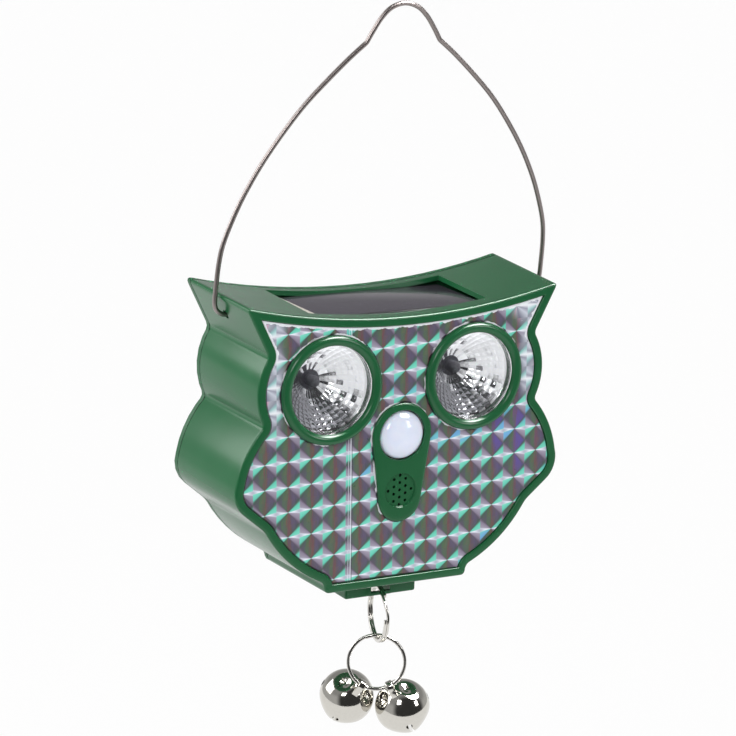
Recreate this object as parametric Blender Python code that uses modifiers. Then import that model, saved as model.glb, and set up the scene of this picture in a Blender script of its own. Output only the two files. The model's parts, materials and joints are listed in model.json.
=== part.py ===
"""An owl-shaped solar animal repeller that hangs from a wire bail, with two jingle bells under it.

Sizes are in metres. Heights are first worked out from just above the housing's flat bottom and depths behind
its front face. at() then moves them so that the world's origin is the point that the bail hangs from.
"""

import math

import bmesh
import bpy
import numpy as np
from mathutils import Matrix, Vector

# Clearance between pieces that touch
GAP = 0.0003

# Outline of the housing: half widths and heights of its corners, and how far each edge bulges
EAR_X = 0.0726
EAR_Z = 0.1222
EAR_TRIM = 0.0034
TOP_MIDDLE_Z = 0.1132
BROW_X = 0.0620
BROW_Z = 0.1013
EYE_SIDE_BULGE = 0.0039
TEMPLE_X = 0.0634
TEMPLE_Z = 0.0728
CHEEK_X = 0.0750
CHEEK_Z = 0.0500
CHEEK_BULGE = 0.0019
JOWL_X = 0.0709
JOWL_Z = 0.0366
JOWL_BULGE = 0.0022
JAW_X = 0.0614
JAW_Z = 0.0287
CHIN_BULGE = 0.0030
STEP_X = 0.0338
STEP_Z = 0.0038
BOTTOM_X = 0.0330
FOOT_Z = -0.0008
CORNER_TRIM = 0.0020

# Shell of the housing and its back cover
SHELL_DEPTH = 0.0503
WALL = 0.0020
EDGE_ROUND = 0.0010
DRAFT = 0.43
DRAFT_CENTRE_Z = 0.0300
RIM_WIDTH = 0.0036
RIM_HEIGHT = 0.0010
FILM_THICKNESS = 0.0003
COVER_THICKNESS = 0.0025
GASKET_WIDTH = 0.0012
GASKET_HEIGHT = 0.0012

# Eyes
EYE_X = 0.0332
EYE_Z = 0.0853
BEZEL_RADIUS = 0.0228
BEZEL_LIP_RADIUS = 0.0184
BEZEL_HEIGHT = 0.0024
BEZEL_BARREL_RADIUS = 0.0209
BEZEL_BARREL_DEPTH = 0.0080
LENS_RADIUS = 0.0193
LENS_THICKNESS = 0.0015
LENS_SKIRT = 0.0030
LENS_SKIRT_WALL = 0.0010
REFLECTOR_MOUTH_RADIUS = 0.0176
REFLECTOR_NECK_RADIUS = 0.0042
REFLECTOR_DEPTH = 0.0140
REFLECTOR_WALL = 0.0008
LED_RADIUS = 0.0025
LED_LENGTH = 0.0060
LED_BOARD_RADIUS = 0.0080
LED_BOARD_THICKNESS = 0.0016

# Nose plate, motion sensor and speaker
NOSE_TOP_RADIUS = 0.0136
NOSE_BOTTOM_RADIUS = 0.0097
NOSE_BOTTOM_Z = 0.0364
NOSE_HEIGHT = 0.0018
DOME_Z = 0.0634
DOME_RADIUS = 0.0102
DOME_HEIGHT = 0.0058
DOME_WALL = 0.0010
DOME_SKIRT = 0.0030
SENSOR_RADIUS = 0.0041
SENSOR_HEIGHT = 0.0042
SENSOR_BOARD_RADIUS = 0.0100
SENSOR_BOARD_THICKNESS = 0.0012
GRILLE_Z = 0.0400
GRILLE_RADIUS = 0.0075
GRILLE_DEPTH = 0.0005
GRILLE_HOLE_RADIUS = 0.00065
GRILLE_ROW_PITCH = 0.0031
GRILLE_COLUMN_PITCH = 0.0027
GRILLE_COLUMNS = (1, 4, 5, 4, 1)
SPEAKER_RADIUS = 0.0125
SPEAKER_DEPTH = 0.0110

# Solar panel in the top
PANEL_WIDTH = 0.0820
PANEL_DEPTH = 0.0384
PANEL_FRONT = 0.0073
PANEL_THICKNESS = 0.0022
PANEL_TOP_Z = 0.1140
PAD_THICKNESS = 0.0008
PAD_MARGIN = 0.0050

# Circuit board, battery well and cells
BOARD_WIDTH = 0.0760
BOARD_HEIGHT = 0.0620
BOARD_THICKNESS = 0.0016
BOARD_CLEARANCE = 0.0043
BOARD_BOTTOM_Z = 0.0360
CELL_RADIUS = 0.0071
CELL_LENGTH = 0.0500
CELL_NUB_LENGTH = 0.0012
CELL_PITCH = 0.0150
CELL_COUNT = 3
WELL_DEPTH = 0.0168
WELL_WALL = 0.0015
WELL_Z = 0.0430
CONTACT_THICKNESS = 0.0005
CONTACT_ROOM = 0.0030
DOOR_THICKNESS = 0.0016
DOOR_LIP = 0.0020
DOOR_CUP_RADIUS = 0.0037
DOOR_CUP_FLOOR = 0.0009
DOOR_SCREW_LENGTH = 0.0060

# Controls in the back cover
KNOB_X = -0.0230
KNOB_Z = 0.0880
KNOB_RADIUS = 0.0080
KNOB_HEIGHT = 0.0048
KNOB_GROOVE_WIDTH = 0.0012
KNOB_GROOVE_DEPTH = 0.0008
BUTTON_X = 0.0230
BUTTON_Z = 0.0880
BUTTON_RADIUS = 0.0045
BUTTON_HEIGHT = 0.0038
BUTTON_EDGE = 0.0008
BUTTON_TRAVEL = 0.0015
CUP_DEPTH = 0.0060
CUP_WALL = 0.0015
CUP_CLEARANCE = 0.0012
STEM_RADIUS = 0.0020
STEM_LENGTH = 0.0060

# Screws that hold the back cover and the battery door
SCREW_UPPER_X = 0.0540
SCREW_UPPER_Z = 0.1040
SCREW_LOWER_X = 0.0500
SCREW_LOWER_Z = 0.0270
SCREW_HEAD_RADIUS = 0.0027
SCREW_HEAD_HEIGHT = 0.0015
SCREW_SHANK_RADIUS = 0.0014
SCREW_LENGTH = 0.0110
BOSS_RADIUS = 0.0036

# Wire bail: half widths and heights along its own plane, from the ear hole up to the hump
HINGE_Y = 0.0265
HINGE_Z = 0.11375
BAIL_WIRE_RADIUS = 0.0010
BAIL_TILT = math.radians(6.9)
BAIL_SLIDE = 0.0025
BAIL_HEIGHT = 0.1259
BAIL_HOLE_RADIUS = 0.0018
BAIL_END_X = 0.0590
BAIL_LEG = (
    (0.0717, 0.0001), (0.0739, 0.0009), (0.0757, 0.0026), (0.0765, 0.0055), (0.0765, 0.0110),
    (0.0761, 0.0215), (0.0747, 0.0305), (0.0707, 0.0420), (0.0662, 0.0520), (0.0596, 0.0637),
    (0.0512, 0.0758), (0.0430, 0.0860), (0.0338, 0.0953), (0.0243, 0.1041), (0.0168, 0.1103),
)
BAIL_HUMP = ((0.0139, 0.1152), (0.0103, 0.1204), (0.0059, 0.1243))

# Bracket under the housing that carries the bells
BRACKET_WIDTH = 0.0336
BRACKET_FRONT = 0.0128
BRACKET_DEPTH = 0.0210
BRACKET_HEIGHT = 0.0094
BRACKET_ROUND = 0.0010
BAR_HEIGHT = 0.0018
BAR_THICKNESS = 0.0022
BAR_ROUND = 0.00075
RING_SLACK = 0.0005
SLOT_WIDTH = 0.0090
SLOT_DEPTH = 0.0185

# Split rings
UPPER_RING_RADIUS = 0.01225
UPPER_RING_WIRE = 0.0016
UPPER_RING_WIDTH = 0.0022
UPPER_RING_TURN = math.radians(11.5)
LOWER_RING_RADIUS = 0.01265
LOWER_RING_WIRE = 0.0014
LOWER_RING_WIDTH = 0.0018
LOWER_RING_TURN = math.radians(-29.0)

# Bells: place round the lower ring from its lowest point, and the crown's direction as parts across
# the ring, up, and out of the ring's front
BELL_RADIUS = 0.01175
BELL_WALL = 0.0008
BELL_SQUARENESS = 0.03
BELL_SLOT_WIDTH = 0.0014
BELL_SLOT_TOP = 0.0010
BELL_SLOT_HOLE_RADIUS = 0.0014
BELL_LOOP_RADIUS = 0.0021
BELL_LOOP_WIRE = 0.0010
BELL_LOOP_RISE = 0.0028
BELL_LOOP_SLACK = 0.0006
BELL_BALL_RADIUS = 0.0025
BELLS = {
    "left": {"place": math.radians(-30.0), "crown": (0.423, 0.608, 0.671)},
    "right": {"place": math.radians(30.0), "crown": (-0.401, 0.786, 0.470)},
}

# Wires inside the housing: how far in from the board's edges they end, and how far they swing on the way
LEAD_RADIUS = 0.0007
LEAD_MARGIN = 0.0050
LEAD_SWING = 0.0080

FILM_FRONT = RIM_HEIGHT
FILM_BACK = FILM_FRONT + FILM_THICKNESS
FRONT_WALL = FILM_BACK + GAP
CAVITY_FRONT = FRONT_WALL + WALL
COVER_FRONT = SHELL_DEPTH + GAP
COVER_BACK = COVER_FRONT + COVER_THICKNESS

# The inner top of the hump, where a hook or a branch carries the bail
HANG_REACH = BAIL_HEIGHT - BAIL_WIRE_RADIUS
HANG = Vector((
    0,
    HINGE_Y - HANG_REACH * math.sin(BAIL_TILT),
    HINGE_Z + HANG_REACH * math.cos(BAIL_TILT),
))


def clear_scene():
    for obj in list(bpy.data.objects):
        bpy.data.objects.remove(obj, do_unlink=True)


def new_collection(name):
    collection = bpy.data.collections.new(name)
    bpy.context.scene.collection.children.link(collection)
    return collection


clear_scene()
PARTS = new_collection("solar_animal_repeller")
TOOLS = new_collection("cutters")


def at(x, y, z):
    """World place of a point given from the front bottom edge's middle."""
    return Vector((x, y, z)) - HANG


def material(name, colour, roughness, metallic=0.0, alpha=1.0):
    made = bpy.data.materials.new(name)
    made.use_nodes = True
    shader = made.node_tree.nodes["Principled BSDF"]
    shader.inputs["Base Color"].default_value = (*colour, 1.0)
    shader.inputs["Roughness"].default_value = roughness
    shader.inputs["Metallic"].default_value = metallic
    shader.inputs["Alpha"].default_value = alpha
    return made


MATERIALS = {
    "green": material("green_plastic", (0.020, 0.130, 0.050), 0.35),
    "cover": material("cover_plastic", (0.018, 0.110, 0.045), 0.45),
    "black": material("black_plastic", (0.020, 0.020, 0.022), 0.45),
    "film": material("silver_film", (0.55, 0.60, 0.62), 0.20, 0.9),
    "clear": material("clear_plastic", (0.95, 0.97, 0.98), 0.05, 0.0, 0.35),
    "chrome": material("chrome_plating", (0.85, 0.85, 0.86), 0.12, 1.0),
    "nickel": material("nickel_plating", (0.78, 0.76, 0.72), 0.18, 1.0),
    "wire": material("steel_wire", (0.60, 0.60, 0.60), 0.30, 1.0),
    "dome": material("milky_plastic", (0.80, 0.83, 0.90), 0.30),
    "cell": material("solar_cell", (0.060, 0.050, 0.075), 0.15),
    "board": material("circuit_board", (0.02, 0.16, 0.06), 0.50),
    "rubber": material("grey_rubber", (0.05, 0.05, 0.05), 0.80),
    "sleeve": material("battery_sleeve", (0.10, 0.25, 0.42), 0.40),
    "red": material("red_insulation", (0.45, 0.03, 0.03), 0.50),
}


# Placing and finishing objects

def pivot(name, place, parent=None):
    """An empty on a joint's axis, which carries the pieces that move together."""
    empty = bpy.data.objects.new(name, None)
    PARTS.objects.link(empty)
    empty.location = place
    bpy.context.view_layer.update()
    if parent:
        carry(empty, parent)
    return empty


def carry(obj, parent):
    """Parents the object and leaves it where it is."""
    obj.parent = parent
    obj.matrix_parent_inverse = parent.matrix_world.inverted()
    bpy.context.view_layer.update()


def finish(obj, look, parent, angle=35):
    """Makes the object a piece of the assembly."""
    obj.data.materials.clear()
    obj.data.materials.append(MATERIALS[look])
    obj.data.shade_smooth()
    obj.data.set_sharp_from_angle(angle=math.radians(angle))
    bpy.context.view_layer.update()
    carry(obj, parent)
    return obj


def add_object(name, mesh, collection=None):
    obj = bpy.data.objects.new(name, mesh)
    (collection or PARTS).objects.link(obj)
    return obj


def as_tool(obj):
    """Keeps the object only as the other half of a Boolean."""
    for collection in obj.users_collection:
        collection.objects.unlink(obj)
    TOOLS.objects.link(obj)
    obj.hide_render = True
    obj.display_type = "WIRE"
    return obj


def combine(target, tool, operation):
    modifier = target.modifiers.new(tool.name, "BOOLEAN")
    modifier.operation = operation
    modifier.object = as_tool(tool)


def cut(target, tool):
    combine(target, tool, "DIFFERENCE")


def join(target, tool):
    combine(target, tool, "UNION")


# Basic shapes

def mesh_from(name, work):
    mesh = bpy.data.meshes.new(name)
    work.to_mesh(mesh)
    work.free()
    return mesh


def box(name, low, high, rounding=0.0):
    """A box between two corners, given from the front bottom edge's middle."""
    low = at(*low)
    high = at(*high)
    work = bmesh.new()
    bmesh.ops.create_cube(work, size=1.0)
    bmesh.ops.scale(work, vec=high - low, verts=work.verts)
    obj = add_object(name, mesh_from(name, work))
    obj.location = (low + high) / 2
    if rounding:
        bevel = obj.modifiers.new("rounded edges", "BEVEL")
        bevel.width = rounding
        bevel.segments = 2
    return obj


def cylinder(name, start, end, radius, sides=24):
    """A round bar between two places."""
    start = at(*start)
    end = at(*end)
    work = bmesh.new()
    length = (end - start).length
    bmesh.ops.create_cone(
        work, cap_ends=True, segments=sides, radius1=radius, radius2=radius, depth=length
    )
    obj = add_object(name, mesh_from(name, work))
    obj.location = (start + end) / 2
    obj.rotation_mode = "QUATERNION"
    obj.rotation_quaternion = (end - start).to_track_quat("Z", "Y")
    return obj


def turned(name, profiles, steps=32):
    """A turned shape about its own Z axis: each profile is (radius, height) pairs, outer side downwards.

    A profile that starts and ends off the axis is closed into a ring.
    """
    mesh = bpy.data.meshes.new(name)
    points = []
    edges = []
    for profile in profiles:
        first = len(points)
        points += [(radius, 0.0, height) for radius, height in profile]
        edges += [(number, number + 1) for number in range(first, len(points) - 1)]
        if profile[0][0] > 0:
            edges.append((len(points) - 1, first))
    mesh.from_pydata(points, edges, [])
    obj = add_object(name, mesh)
    screw = obj.modifiers.new("turned", "SCREW")
    screw.steps = steps
    screw.render_steps = steps
    screw.use_merge_vertices = True
    screw.merge_threshold = 0.00001
    screw.use_normal_calculate = False
    return obj


def turned_forward(name, profiles, x, z, steps=32):
    """A turned shape on a front-to-back axis: each profile is (radius, depth), outer side backwards."""
    flipped = [[(radius, -depth) for radius, depth in profile] for profile in profiles]
    obj = turned(name, flipped, steps)
    obj.rotation_euler = (math.radians(90), 0, 0)
    obj.location = at(x, 0, z)
    return obj


def mesh_of(guide, merge=0.000001):
    """The curve's own surface as a mesh, with its caps welded on."""
    bpy.context.view_layer.update()
    mesh = bpy.data.meshes.new_from_object(guide.evaluated_get(bpy.context.evaluated_depsgraph_get()))
    work = bmesh.new()
    work.from_mesh(mesh)
    bmesh.ops.remove_doubles(work, verts=work.verts, dist=merge)
    work.to_mesh(mesh)
    work.free()
    return mesh


def without_straight(outline):
    """The outline without the points that lie on a straight edge."""
    outline = np.array(outline)
    before = outline - np.roll(outline, 1, axis=0)
    after = np.roll(outline, -1, axis=0) - outline
    turn = before[:, 0] * after[:, 1] - before[:, 1] * after[:, 0]
    lengths = np.linalg.norm(before, axis=1) * np.linalg.norm(after, axis=1)
    return outline[abs(turn) > 0.0001 * lengths]


def slab(name, outline, front, back, drafted=False, rounding=0.0):
    """An upright plate: its outline as seen from the front, between two depths."""
    outline = without_straight(outline)
    curve = bpy.data.curves.new(name, "CURVE")
    curve.dimensions = "2D"
    curve.fill_mode = "BOTH"
    curve.extrude = (back - front) / 2
    spline = curve.splines.new("POLY")
    spline.points.add(len(outline) - 1)
    for point, (x, z) in zip(spline.points, outline):
        point.co = (x, z, 0, 1)
    spline.use_cyclic_u = True
    guide = add_object(name, curve)
    mesh = mesh_of(guide)
    bpy.data.objects.remove(guide)
    mesh.transform(Matrix.Translation((0, (front + back) / 2, 0)) @ Matrix.Rotation(math.pi / 2, 4, "X"))
    shape_slab(mesh, front, drafted, rounding)
    obj = add_object(name, mesh)
    obj.location = at(0, 0, 0)
    if rounding:
        bevel = obj.modifiers.new("rounded front", "BEVEL")
        bevel.width = rounding
        bevel.segments = 2
        bevel.limit_method = "WEIGHT"
    return obj


def shape_slab(mesh, front, drafted, rounding):
    """Makes each cap one face, marks the front edge for rounding and widens the plate towards its back."""
    work = bmesh.new()
    work.from_mesh(mesh)
    for side in (-1, 1):
        caps = [face for face in work.faces if face.normal.y * side > 0.9]
        bmesh.ops.dissolve_faces(work, faces=caps)
    if rounding:
        weights = work.edges.layers.float.new("bevel_weight_edge")
        for edge in work.edges:
            if all(abs(vertex.co.y - front) < 1e-6 for vertex in edge.verts):
                edge[weights] = 1.0
    if drafted:
        for vertex in work.verts:
            growth = 1 + DRAFT * vertex.co.y
            vertex.co.x *= growth
            vertex.co.z = DRAFT_CENTRE_Z + (vertex.co.z - DRAFT_CENTRE_Z) * growth
    work.to_mesh(mesh)
    work.free()


def tube(name, points, radius, collection=None):
    """A wire along world places, with filled ends."""
    curve = bpy.data.curves.new(name, "CURVE")
    curve.dimensions = "3D"
    curve.bevel_depth = radius
    curve.bevel_resolution = 2
    curve.use_fill_caps = True
    spline = curve.splines.new("POLY")
    spline.points.add(len(points) - 1)
    for point, place in zip(spline.points, points):
        point.co = (*place, 1)
    guide = add_object(name, curve)
    mesh = mesh_of(guide)
    bpy.data.objects.remove(guide)
    return add_object(name, mesh, collection)


def smooth_through(points, parts):
    """A Catmull-Rom curve through the points, with each span cut into equal parts."""
    points = np.array(points, float)
    padded = np.vstack((2 * points[0] - points[1], points, 2 * points[-1] - points[-2]))
    curve = []
    for before, start, end, after in zip(padded, padded[1:], padded[2:], padded[3:]):
        for t in np.arange(parts) / parts:
            curve.append(0.5 * (
                2 * start + (end - before) * t + (2 * before - 5 * start + 4 * end - after) * t**2
                + (3 * start - before - 3 * end + after) * t**3
            ))
    return np.vstack((curve, points[-1]))


# Outline of the housing, seen from the front

def top_z(x):
    """Height of the hollow top edge, an arc through both ears and the top's middle."""
    dip = EAR_Z - TOP_MIDDLE_Z
    radius = (EAR_X**2 + dip**2) / (2 * dip)
    return TOP_MIDDLE_Z + radius - math.sqrt(radius**2 - x**2)


def ear_side_x(z):
    """Half width of the slanted side of the ear."""
    return BROW_X + (EAR_X - BROW_X) * (z - BROW_Z) / (EAR_Z - BROW_Z)


def bulged(start, end, bulge, count):
    """Points after start along an arc to end, which swings out by bulge to the left of its way."""
    start = np.array(start)
    end = np.array(end)
    half = np.linalg.norm(end - start) / 2
    along = (end - start) / (2 * half)
    out = np.array((-along[1], along[0]))
    radius = (half**2 + bulge**2) / (2 * bulge)
    centre = (start + end) / 2 + out * (bulge - radius)
    reach = math.asin(half / radius)
    angles = np.linspace(-reach, reach, count + 1)[1:]
    return [tuple(centre + radius * (math.sin(a) * along + math.cos(a) * out)) for a in angles]


def trimmed(points, corners):
    """Puts a short curve in place of each numbered corner of a line, from the corner's reach before it."""
    rounded = []
    for number, point in enumerate(points):
        if number not in corners:
            rounded.append(point)
            continue
        corner = Vector(point)
        before = corner + (Vector(points[number - 1]) - corner).normalized() * corners[number]
        after = corner + (Vector(points[number + 1]) - corner).normalized() * corners[number]
        for t in np.linspace(0, 1, 5 if corners[number] == EAR_TRIM else 3):
            rounded.append(tuple(before * (1 - t)**2 + corner * (2 * t * (1 - t)) + after * t**2))
    return rounded


def housing_outline():
    """The whole outline, clockwise from the middle of the top."""
    half = [(x, top_z(x)) for x in np.linspace(0, EAR_X, 9)]
    corners = {len(half) - 1: EAR_TRIM}
    spans = (
        (BROW_X, BROW_Z, None, 1),
        (TEMPLE_X, TEMPLE_Z, EYE_SIDE_BULGE, 6),
        (CHEEK_X, CHEEK_Z, CHEEK_BULGE, 5),
        (JOWL_X, JOWL_Z, JOWL_BULGE, 4),
        (JAW_X, JAW_Z, None, 1),
        (STEP_X, STEP_Z, CHIN_BULGE, 7),
        (BOTTOM_X, FOOT_Z, None, 1),
    )
    for x, z, bulge, count in spans:
        half += bulged(half[-1], (x, z), bulge, count) if bulge else [(x, z)]
        if x not in (CHEEK_X, JOWL_X):
            corners[len(half) - 1] = CORNER_TRIM
    half = trimmed(half + [(0.0, FOOT_Z)], corners)
    return half + [(-x, z) for x, z in half[-2:0:-1]]


def distances(point, outline):
    """Distances from a point to each edge of a closed outline."""
    ahead = np.roll(outline, -1, axis=0) - outline
    share = ((point - outline) * ahead).sum(axis=1) / (ahead**2).sum(axis=1)
    nearest = outline + ahead * np.clip(share, 0, 1)[:, None]
    return np.linalg.norm(nearest - point, axis=1)


def meeting(start, way, end, other_way):
    """Where the line from start along way crosses the line through end along the other way."""
    gap = end - start
    turn = way[0] * other_way[1] - way[1] * other_way[0]
    return tuple(start + way * (gap[0] * other_way[1] - gap[1] * other_way[0]) / turn)


def inset(outline, distance):
    """The outline moved inwards, with its tight corners shortened to where their sides meet."""
    outline = np.array(outline)
    ahead = np.roll(outline, -1, axis=0) - outline
    ahead /= np.linalg.norm(ahead, axis=1)[:, None]
    inward = np.stack((ahead[:, 1], -ahead[:, 0]), axis=1)
    before = np.roll(inward, 1, axis=0)
    mitre = (inward + before) / (1 + (inward * before).sum(axis=1))[:, None]
    moved = outline + distance * mitre
    kept = [i for i, point in enumerate(moved) if distances(point, outline).min() > 0.9995 * distance]
    points = []
    for last, number in zip(kept[-1:] + kept[:-1], kept):
        if (number - last) % len(outline) > 1:
            points.append(meeting(moved[last], ahead[last], moved[number], ahead[number - 1]))
        points.append(tuple(moved[number]))
    return points


OUTLINE = housing_outline()


def nose_outline(margin=0.0):
    """Two circles of unlike size joined by their outer tangents."""
    top = NOSE_TOP_RADIUS - margin
    bottom = NOSE_BOTTOM_RADIUS - margin
    lean = math.asin((top - bottom) / (DOME_Z - NOSE_BOTTOM_Z))
    right_top = np.linspace(math.pi / 2, -lean, 9)
    right_bottom = np.linspace(-lean, -math.pi / 2, 7)
    half = [(top * math.cos(a), DOME_Z + top * math.sin(a)) for a in right_top]
    half += [(bottom * math.cos(a), NOSE_BOTTOM_Z + bottom * math.sin(a)) for a in right_bottom]
    return half + [(-x, z) for x, z in half[-2:0:-1]]


# Housing

def make_front_housing():
    housing = slab("front_housing", OUTLINE, 0, SHELL_DEPTH, drafted=True, rounding=EDGE_ROUND)
    film_pocket = slab("film_pocket", inset(OUTLINE, RIM_WIDTH), -WALL, FRONT_WALL, drafted=True)
    cut(housing, film_pocket)
    cut(housing, make_cavity())
    for side in (-1, 1):
        add_bosses(housing, side)
        eye = cylinder("eye_hole", (side * EYE_X, -WALL, EYE_Z), (side * EYE_X, CAVITY_FRONT + WALL, EYE_Z),
                       BEZEL_BARREL_RADIUS + GAP, 32)
        cut(housing, eye)
        ear = cylinder("ear_hole", (side * (BAIL_END_X - WALL), HINGE_Y, HINGE_Z),
                       (side * (CHEEK_X + WALL), HINGE_Y, HINGE_Z), BAIL_HOLE_RADIUS, 16)
        cut(housing, ear)
    round_holes = (("dome_hole", DOME_Z, DOME_RADIUS + GAP), ("speaker_hole", GRILLE_Z, GRILLE_RADIUS))
    for name, z, radius in round_holes:
        cut(housing, cylinder(name, (0, -WALL, z), (0, CAVITY_FRONT + WALL, z), radius))
    recess = box("panel_recess", (-PANEL_WIDTH / 2 - GAP, PANEL_FRONT - GAP, panel_floor_z()),
                 (PANEL_WIDTH / 2 + GAP, PANEL_FRONT + PANEL_DEPTH + GAP, EAR_Z + WALL))
    cut(housing, recess)
    return finish(housing, "green", HOUSING)


def panel_floor_z():
    return PANEL_TOP_Z - PANEL_THICKNESS - PAD_THICKNESS - 2 * GAP


def make_cavity():
    """The hollow of the housing, which leaves a tray for the solar panel under the top."""
    cavity = slab("cavity", inset(OUTLINE, WALL), CAVITY_FRONT, SHELL_DEPTH + WALL, drafted=True)
    tray = box("panel_tray", (-PANEL_WIDTH / 2 - GAP - WALL, 0, panel_floor_z() - WALL),
               (PANEL_WIDTH / 2 + GAP + WALL, PANEL_FRONT + PANEL_DEPTH + GAP + WALL, EAR_Z + WALL))
    cut(cavity, tray)
    return cavity


def screw_places(side):
    return ((side * SCREW_UPPER_X, SCREW_UPPER_Z), (side * SCREW_LOWER_X, SCREW_LOWER_Z))


def add_bosses(housing, side):
    """Posts for the cover screws, with their pilot holes."""
    for x, z in screw_places(side):
        boss = cylinder("boss", (x, FRONT_WALL + WALL / 2, z), (x, SHELL_DEPTH - GAP, z), BOSS_RADIUS, 16)
        join(housing, boss)
        bottom = COVER_BACK - SCREW_LENGTH - WALL
        pilot = cylinder("pilot", (x, bottom, z), (x, SHELL_DEPTH + WALL, z), SCREW_SHANK_RADIUS + GAP, 12)
        cut(housing, pilot)


def make_film():
    film = slab("reflective_film", inset(OUTLINE, RIM_WIDTH + GAP), FILM_FRONT, FILM_BACK, drafted=True)
    holes = (
        ("film_eye_left", -EYE_X, EYE_Z, BEZEL_BARREL_RADIUS + GAP),
        ("film_eye_right", EYE_X, EYE_Z, BEZEL_BARREL_RADIUS + GAP),
        ("film_dome", 0, DOME_Z, DOME_RADIUS + GAP),
        ("film_speaker", 0, GRILLE_Z, GRILLE_RADIUS),
    )
    for name, x, z, radius in holes:
        cut(film, cylinder(name, (x, -WALL, z), (x, WALL + FILM_BACK, z), radius, 32))
    finish(film, "film", HOUSING)


def make_gasket():
    """A seal in the seam between housing and cover, half sunk in the cover."""
    outer = inset(OUTLINE, (WALL - GASKET_WIDTH) / 2)
    back = SHELL_DEPTH + GASKET_HEIGHT
    gasket = slab("housing_gasket", outer, SHELL_DEPTH + GAP, back, drafted=True)
    inner = inset(OUTLINE, (WALL + GASKET_WIDTH) / 2)
    cut(gasket, slab("gasket_middle", inner, SHELL_DEPTH - WALL, back + WALL, drafted=True))
    finish(gasket, "rubber", HOUSING)


# Eyes

def make_eye(side, sign):
    x = sign * EYE_X
    flange_back = FILM_FRONT - GAP
    flange_front = flange_back - BEZEL_HEIGHT
    barrel_back = flange_front + BEZEL_BARREL_DEPTH
    make_bezel(side, x, flange_front, flange_back, barrel_back)
    lens_front = flange_back
    lens_back = lens_front + LENS_THICKNESS
    skirt_back = lens_back + LENS_SKIRT
    lens = turned_forward("eye_lens_" + side, [[
        (0, lens_front),
        (LENS_RADIUS, lens_front),
        (LENS_RADIUS, skirt_back),
        (LENS_RADIUS - LENS_SKIRT_WALL, skirt_back),
        (LENS_RADIUS - LENS_SKIRT_WALL, lens_back),
        (0, lens_back),
    ]], x, EYE_Z)
    finish(lens, "clear", HOUSING)
    make_reflector(side, x, skirt_back + GAP)


def make_bezel(side, x, front, back, barrel_back):
    round_off = BEZEL_HEIGHT * 0.45
    bore = LENS_RADIUS + GAP
    bezel = turned_forward("eye_bezel_" + side, [[
        (BEZEL_LIP_RADIUS + round_off, front),
        (BEZEL_RADIUS - 2 * round_off, front),
        (BEZEL_RADIUS - 0.5 * round_off, front + 0.5 * round_off),
        (BEZEL_RADIUS, front + 1.6 * round_off),
        (BEZEL_RADIUS, back),
        (BEZEL_BARREL_RADIUS, back),
        (BEZEL_BARREL_RADIUS, barrel_back),
        (bore, barrel_back),
        (bore, back - GAP),
        (BEZEL_LIP_RADIUS, back - GAP),
        (BEZEL_LIP_RADIUS, front + round_off),
    ]], x, EYE_Z)
    finish(bezel, "green", HOUSING, 50)


def reflector_radius(share):
    """Radius of the bowl from its mouth (0) to its neck (1), a parabola."""
    mouth = REFLECTOR_MOUTH_RADIUS
    neck = REFLECTOR_NECK_RADIUS
    return math.sqrt(mouth**2 + (neck**2 - mouth**2) * share)


def make_reflector(side, x, front):
    """A plated bowl with a flange, open at its neck, where the light sits."""
    shares = np.linspace(0, 1, 5)
    inner = [(reflector_radius(s), front + s * REFLECTOR_DEPTH) for s in shares]
    outer = [(radius + REFLECTOR_WALL, depth) for radius, depth in inner[1:]]
    flange_back = front + REFLECTOR_WALL
    profile = [(LENS_RADIUS, front), (LENS_RADIUS, flange_back)]
    profile += [(REFLECTOR_MOUTH_RADIUS + REFLECTOR_WALL, flange_back)]
    profile += outer + inner[::-1]
    finish(turned_forward("eye_reflector_" + side, [profile], x, EYE_Z, 24), "chrome", HOUSING, 50)
    neck = front + REFLECTOR_DEPTH
    board_front = neck + GAP
    tip = board_front - LED_LENGTH
    led = turned_forward("eye_led_" + side, [[
        (0, tip),
        (LED_RADIUS * 0.7, tip + LED_RADIUS * 0.3),
        (LED_RADIUS, tip + LED_RADIUS),
        (LED_RADIUS, board_front),
        (LED_BOARD_RADIUS, board_front),
        (LED_BOARD_RADIUS, board_front + LED_BOARD_THICKNESS),
        (0, board_front + LED_BOARD_THICKNESS),
    ]], x, EYE_Z, 24)
    finish(led, "dome", HOUSING)


# Nose

def make_nose_plate():
    back = FILM_FRONT - GAP
    front = back - NOSE_HEIGHT
    plate = slab("nose_plate", nose_outline(), front, back, rounding=NOSE_HEIGHT * 0.4)
    cut(plate, cylinder("plate_dome_hole", (0, front - WALL, DOME_Z), (0, back + WALL, DOME_Z),
                        DOME_RADIUS + GAP, 32))
    cut(plate, cylinder("grille_recess", (0, front - WALL, GRILLE_Z), (0, front + GRILLE_DEPTH, GRILLE_Z),
                        GRILLE_RADIUS, 32))
    middle = (len(GRILLE_COLUMNS) - 1) / 2
    for column, count in enumerate(GRILLE_COLUMNS):
        x = (column - middle) * GRILLE_COLUMN_PITCH
        for row in range(count):
            z = GRILLE_Z + (row - (count - 1) / 2) * GRILLE_ROW_PITCH
            hole = cylinder("grille_hole", (x, front - WALL, z), (x, back + WALL, z), GRILLE_HOLE_RADIUS, 6)
            cut(plate, hole)
    finish(plate, "green", HOUSING)


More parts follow.
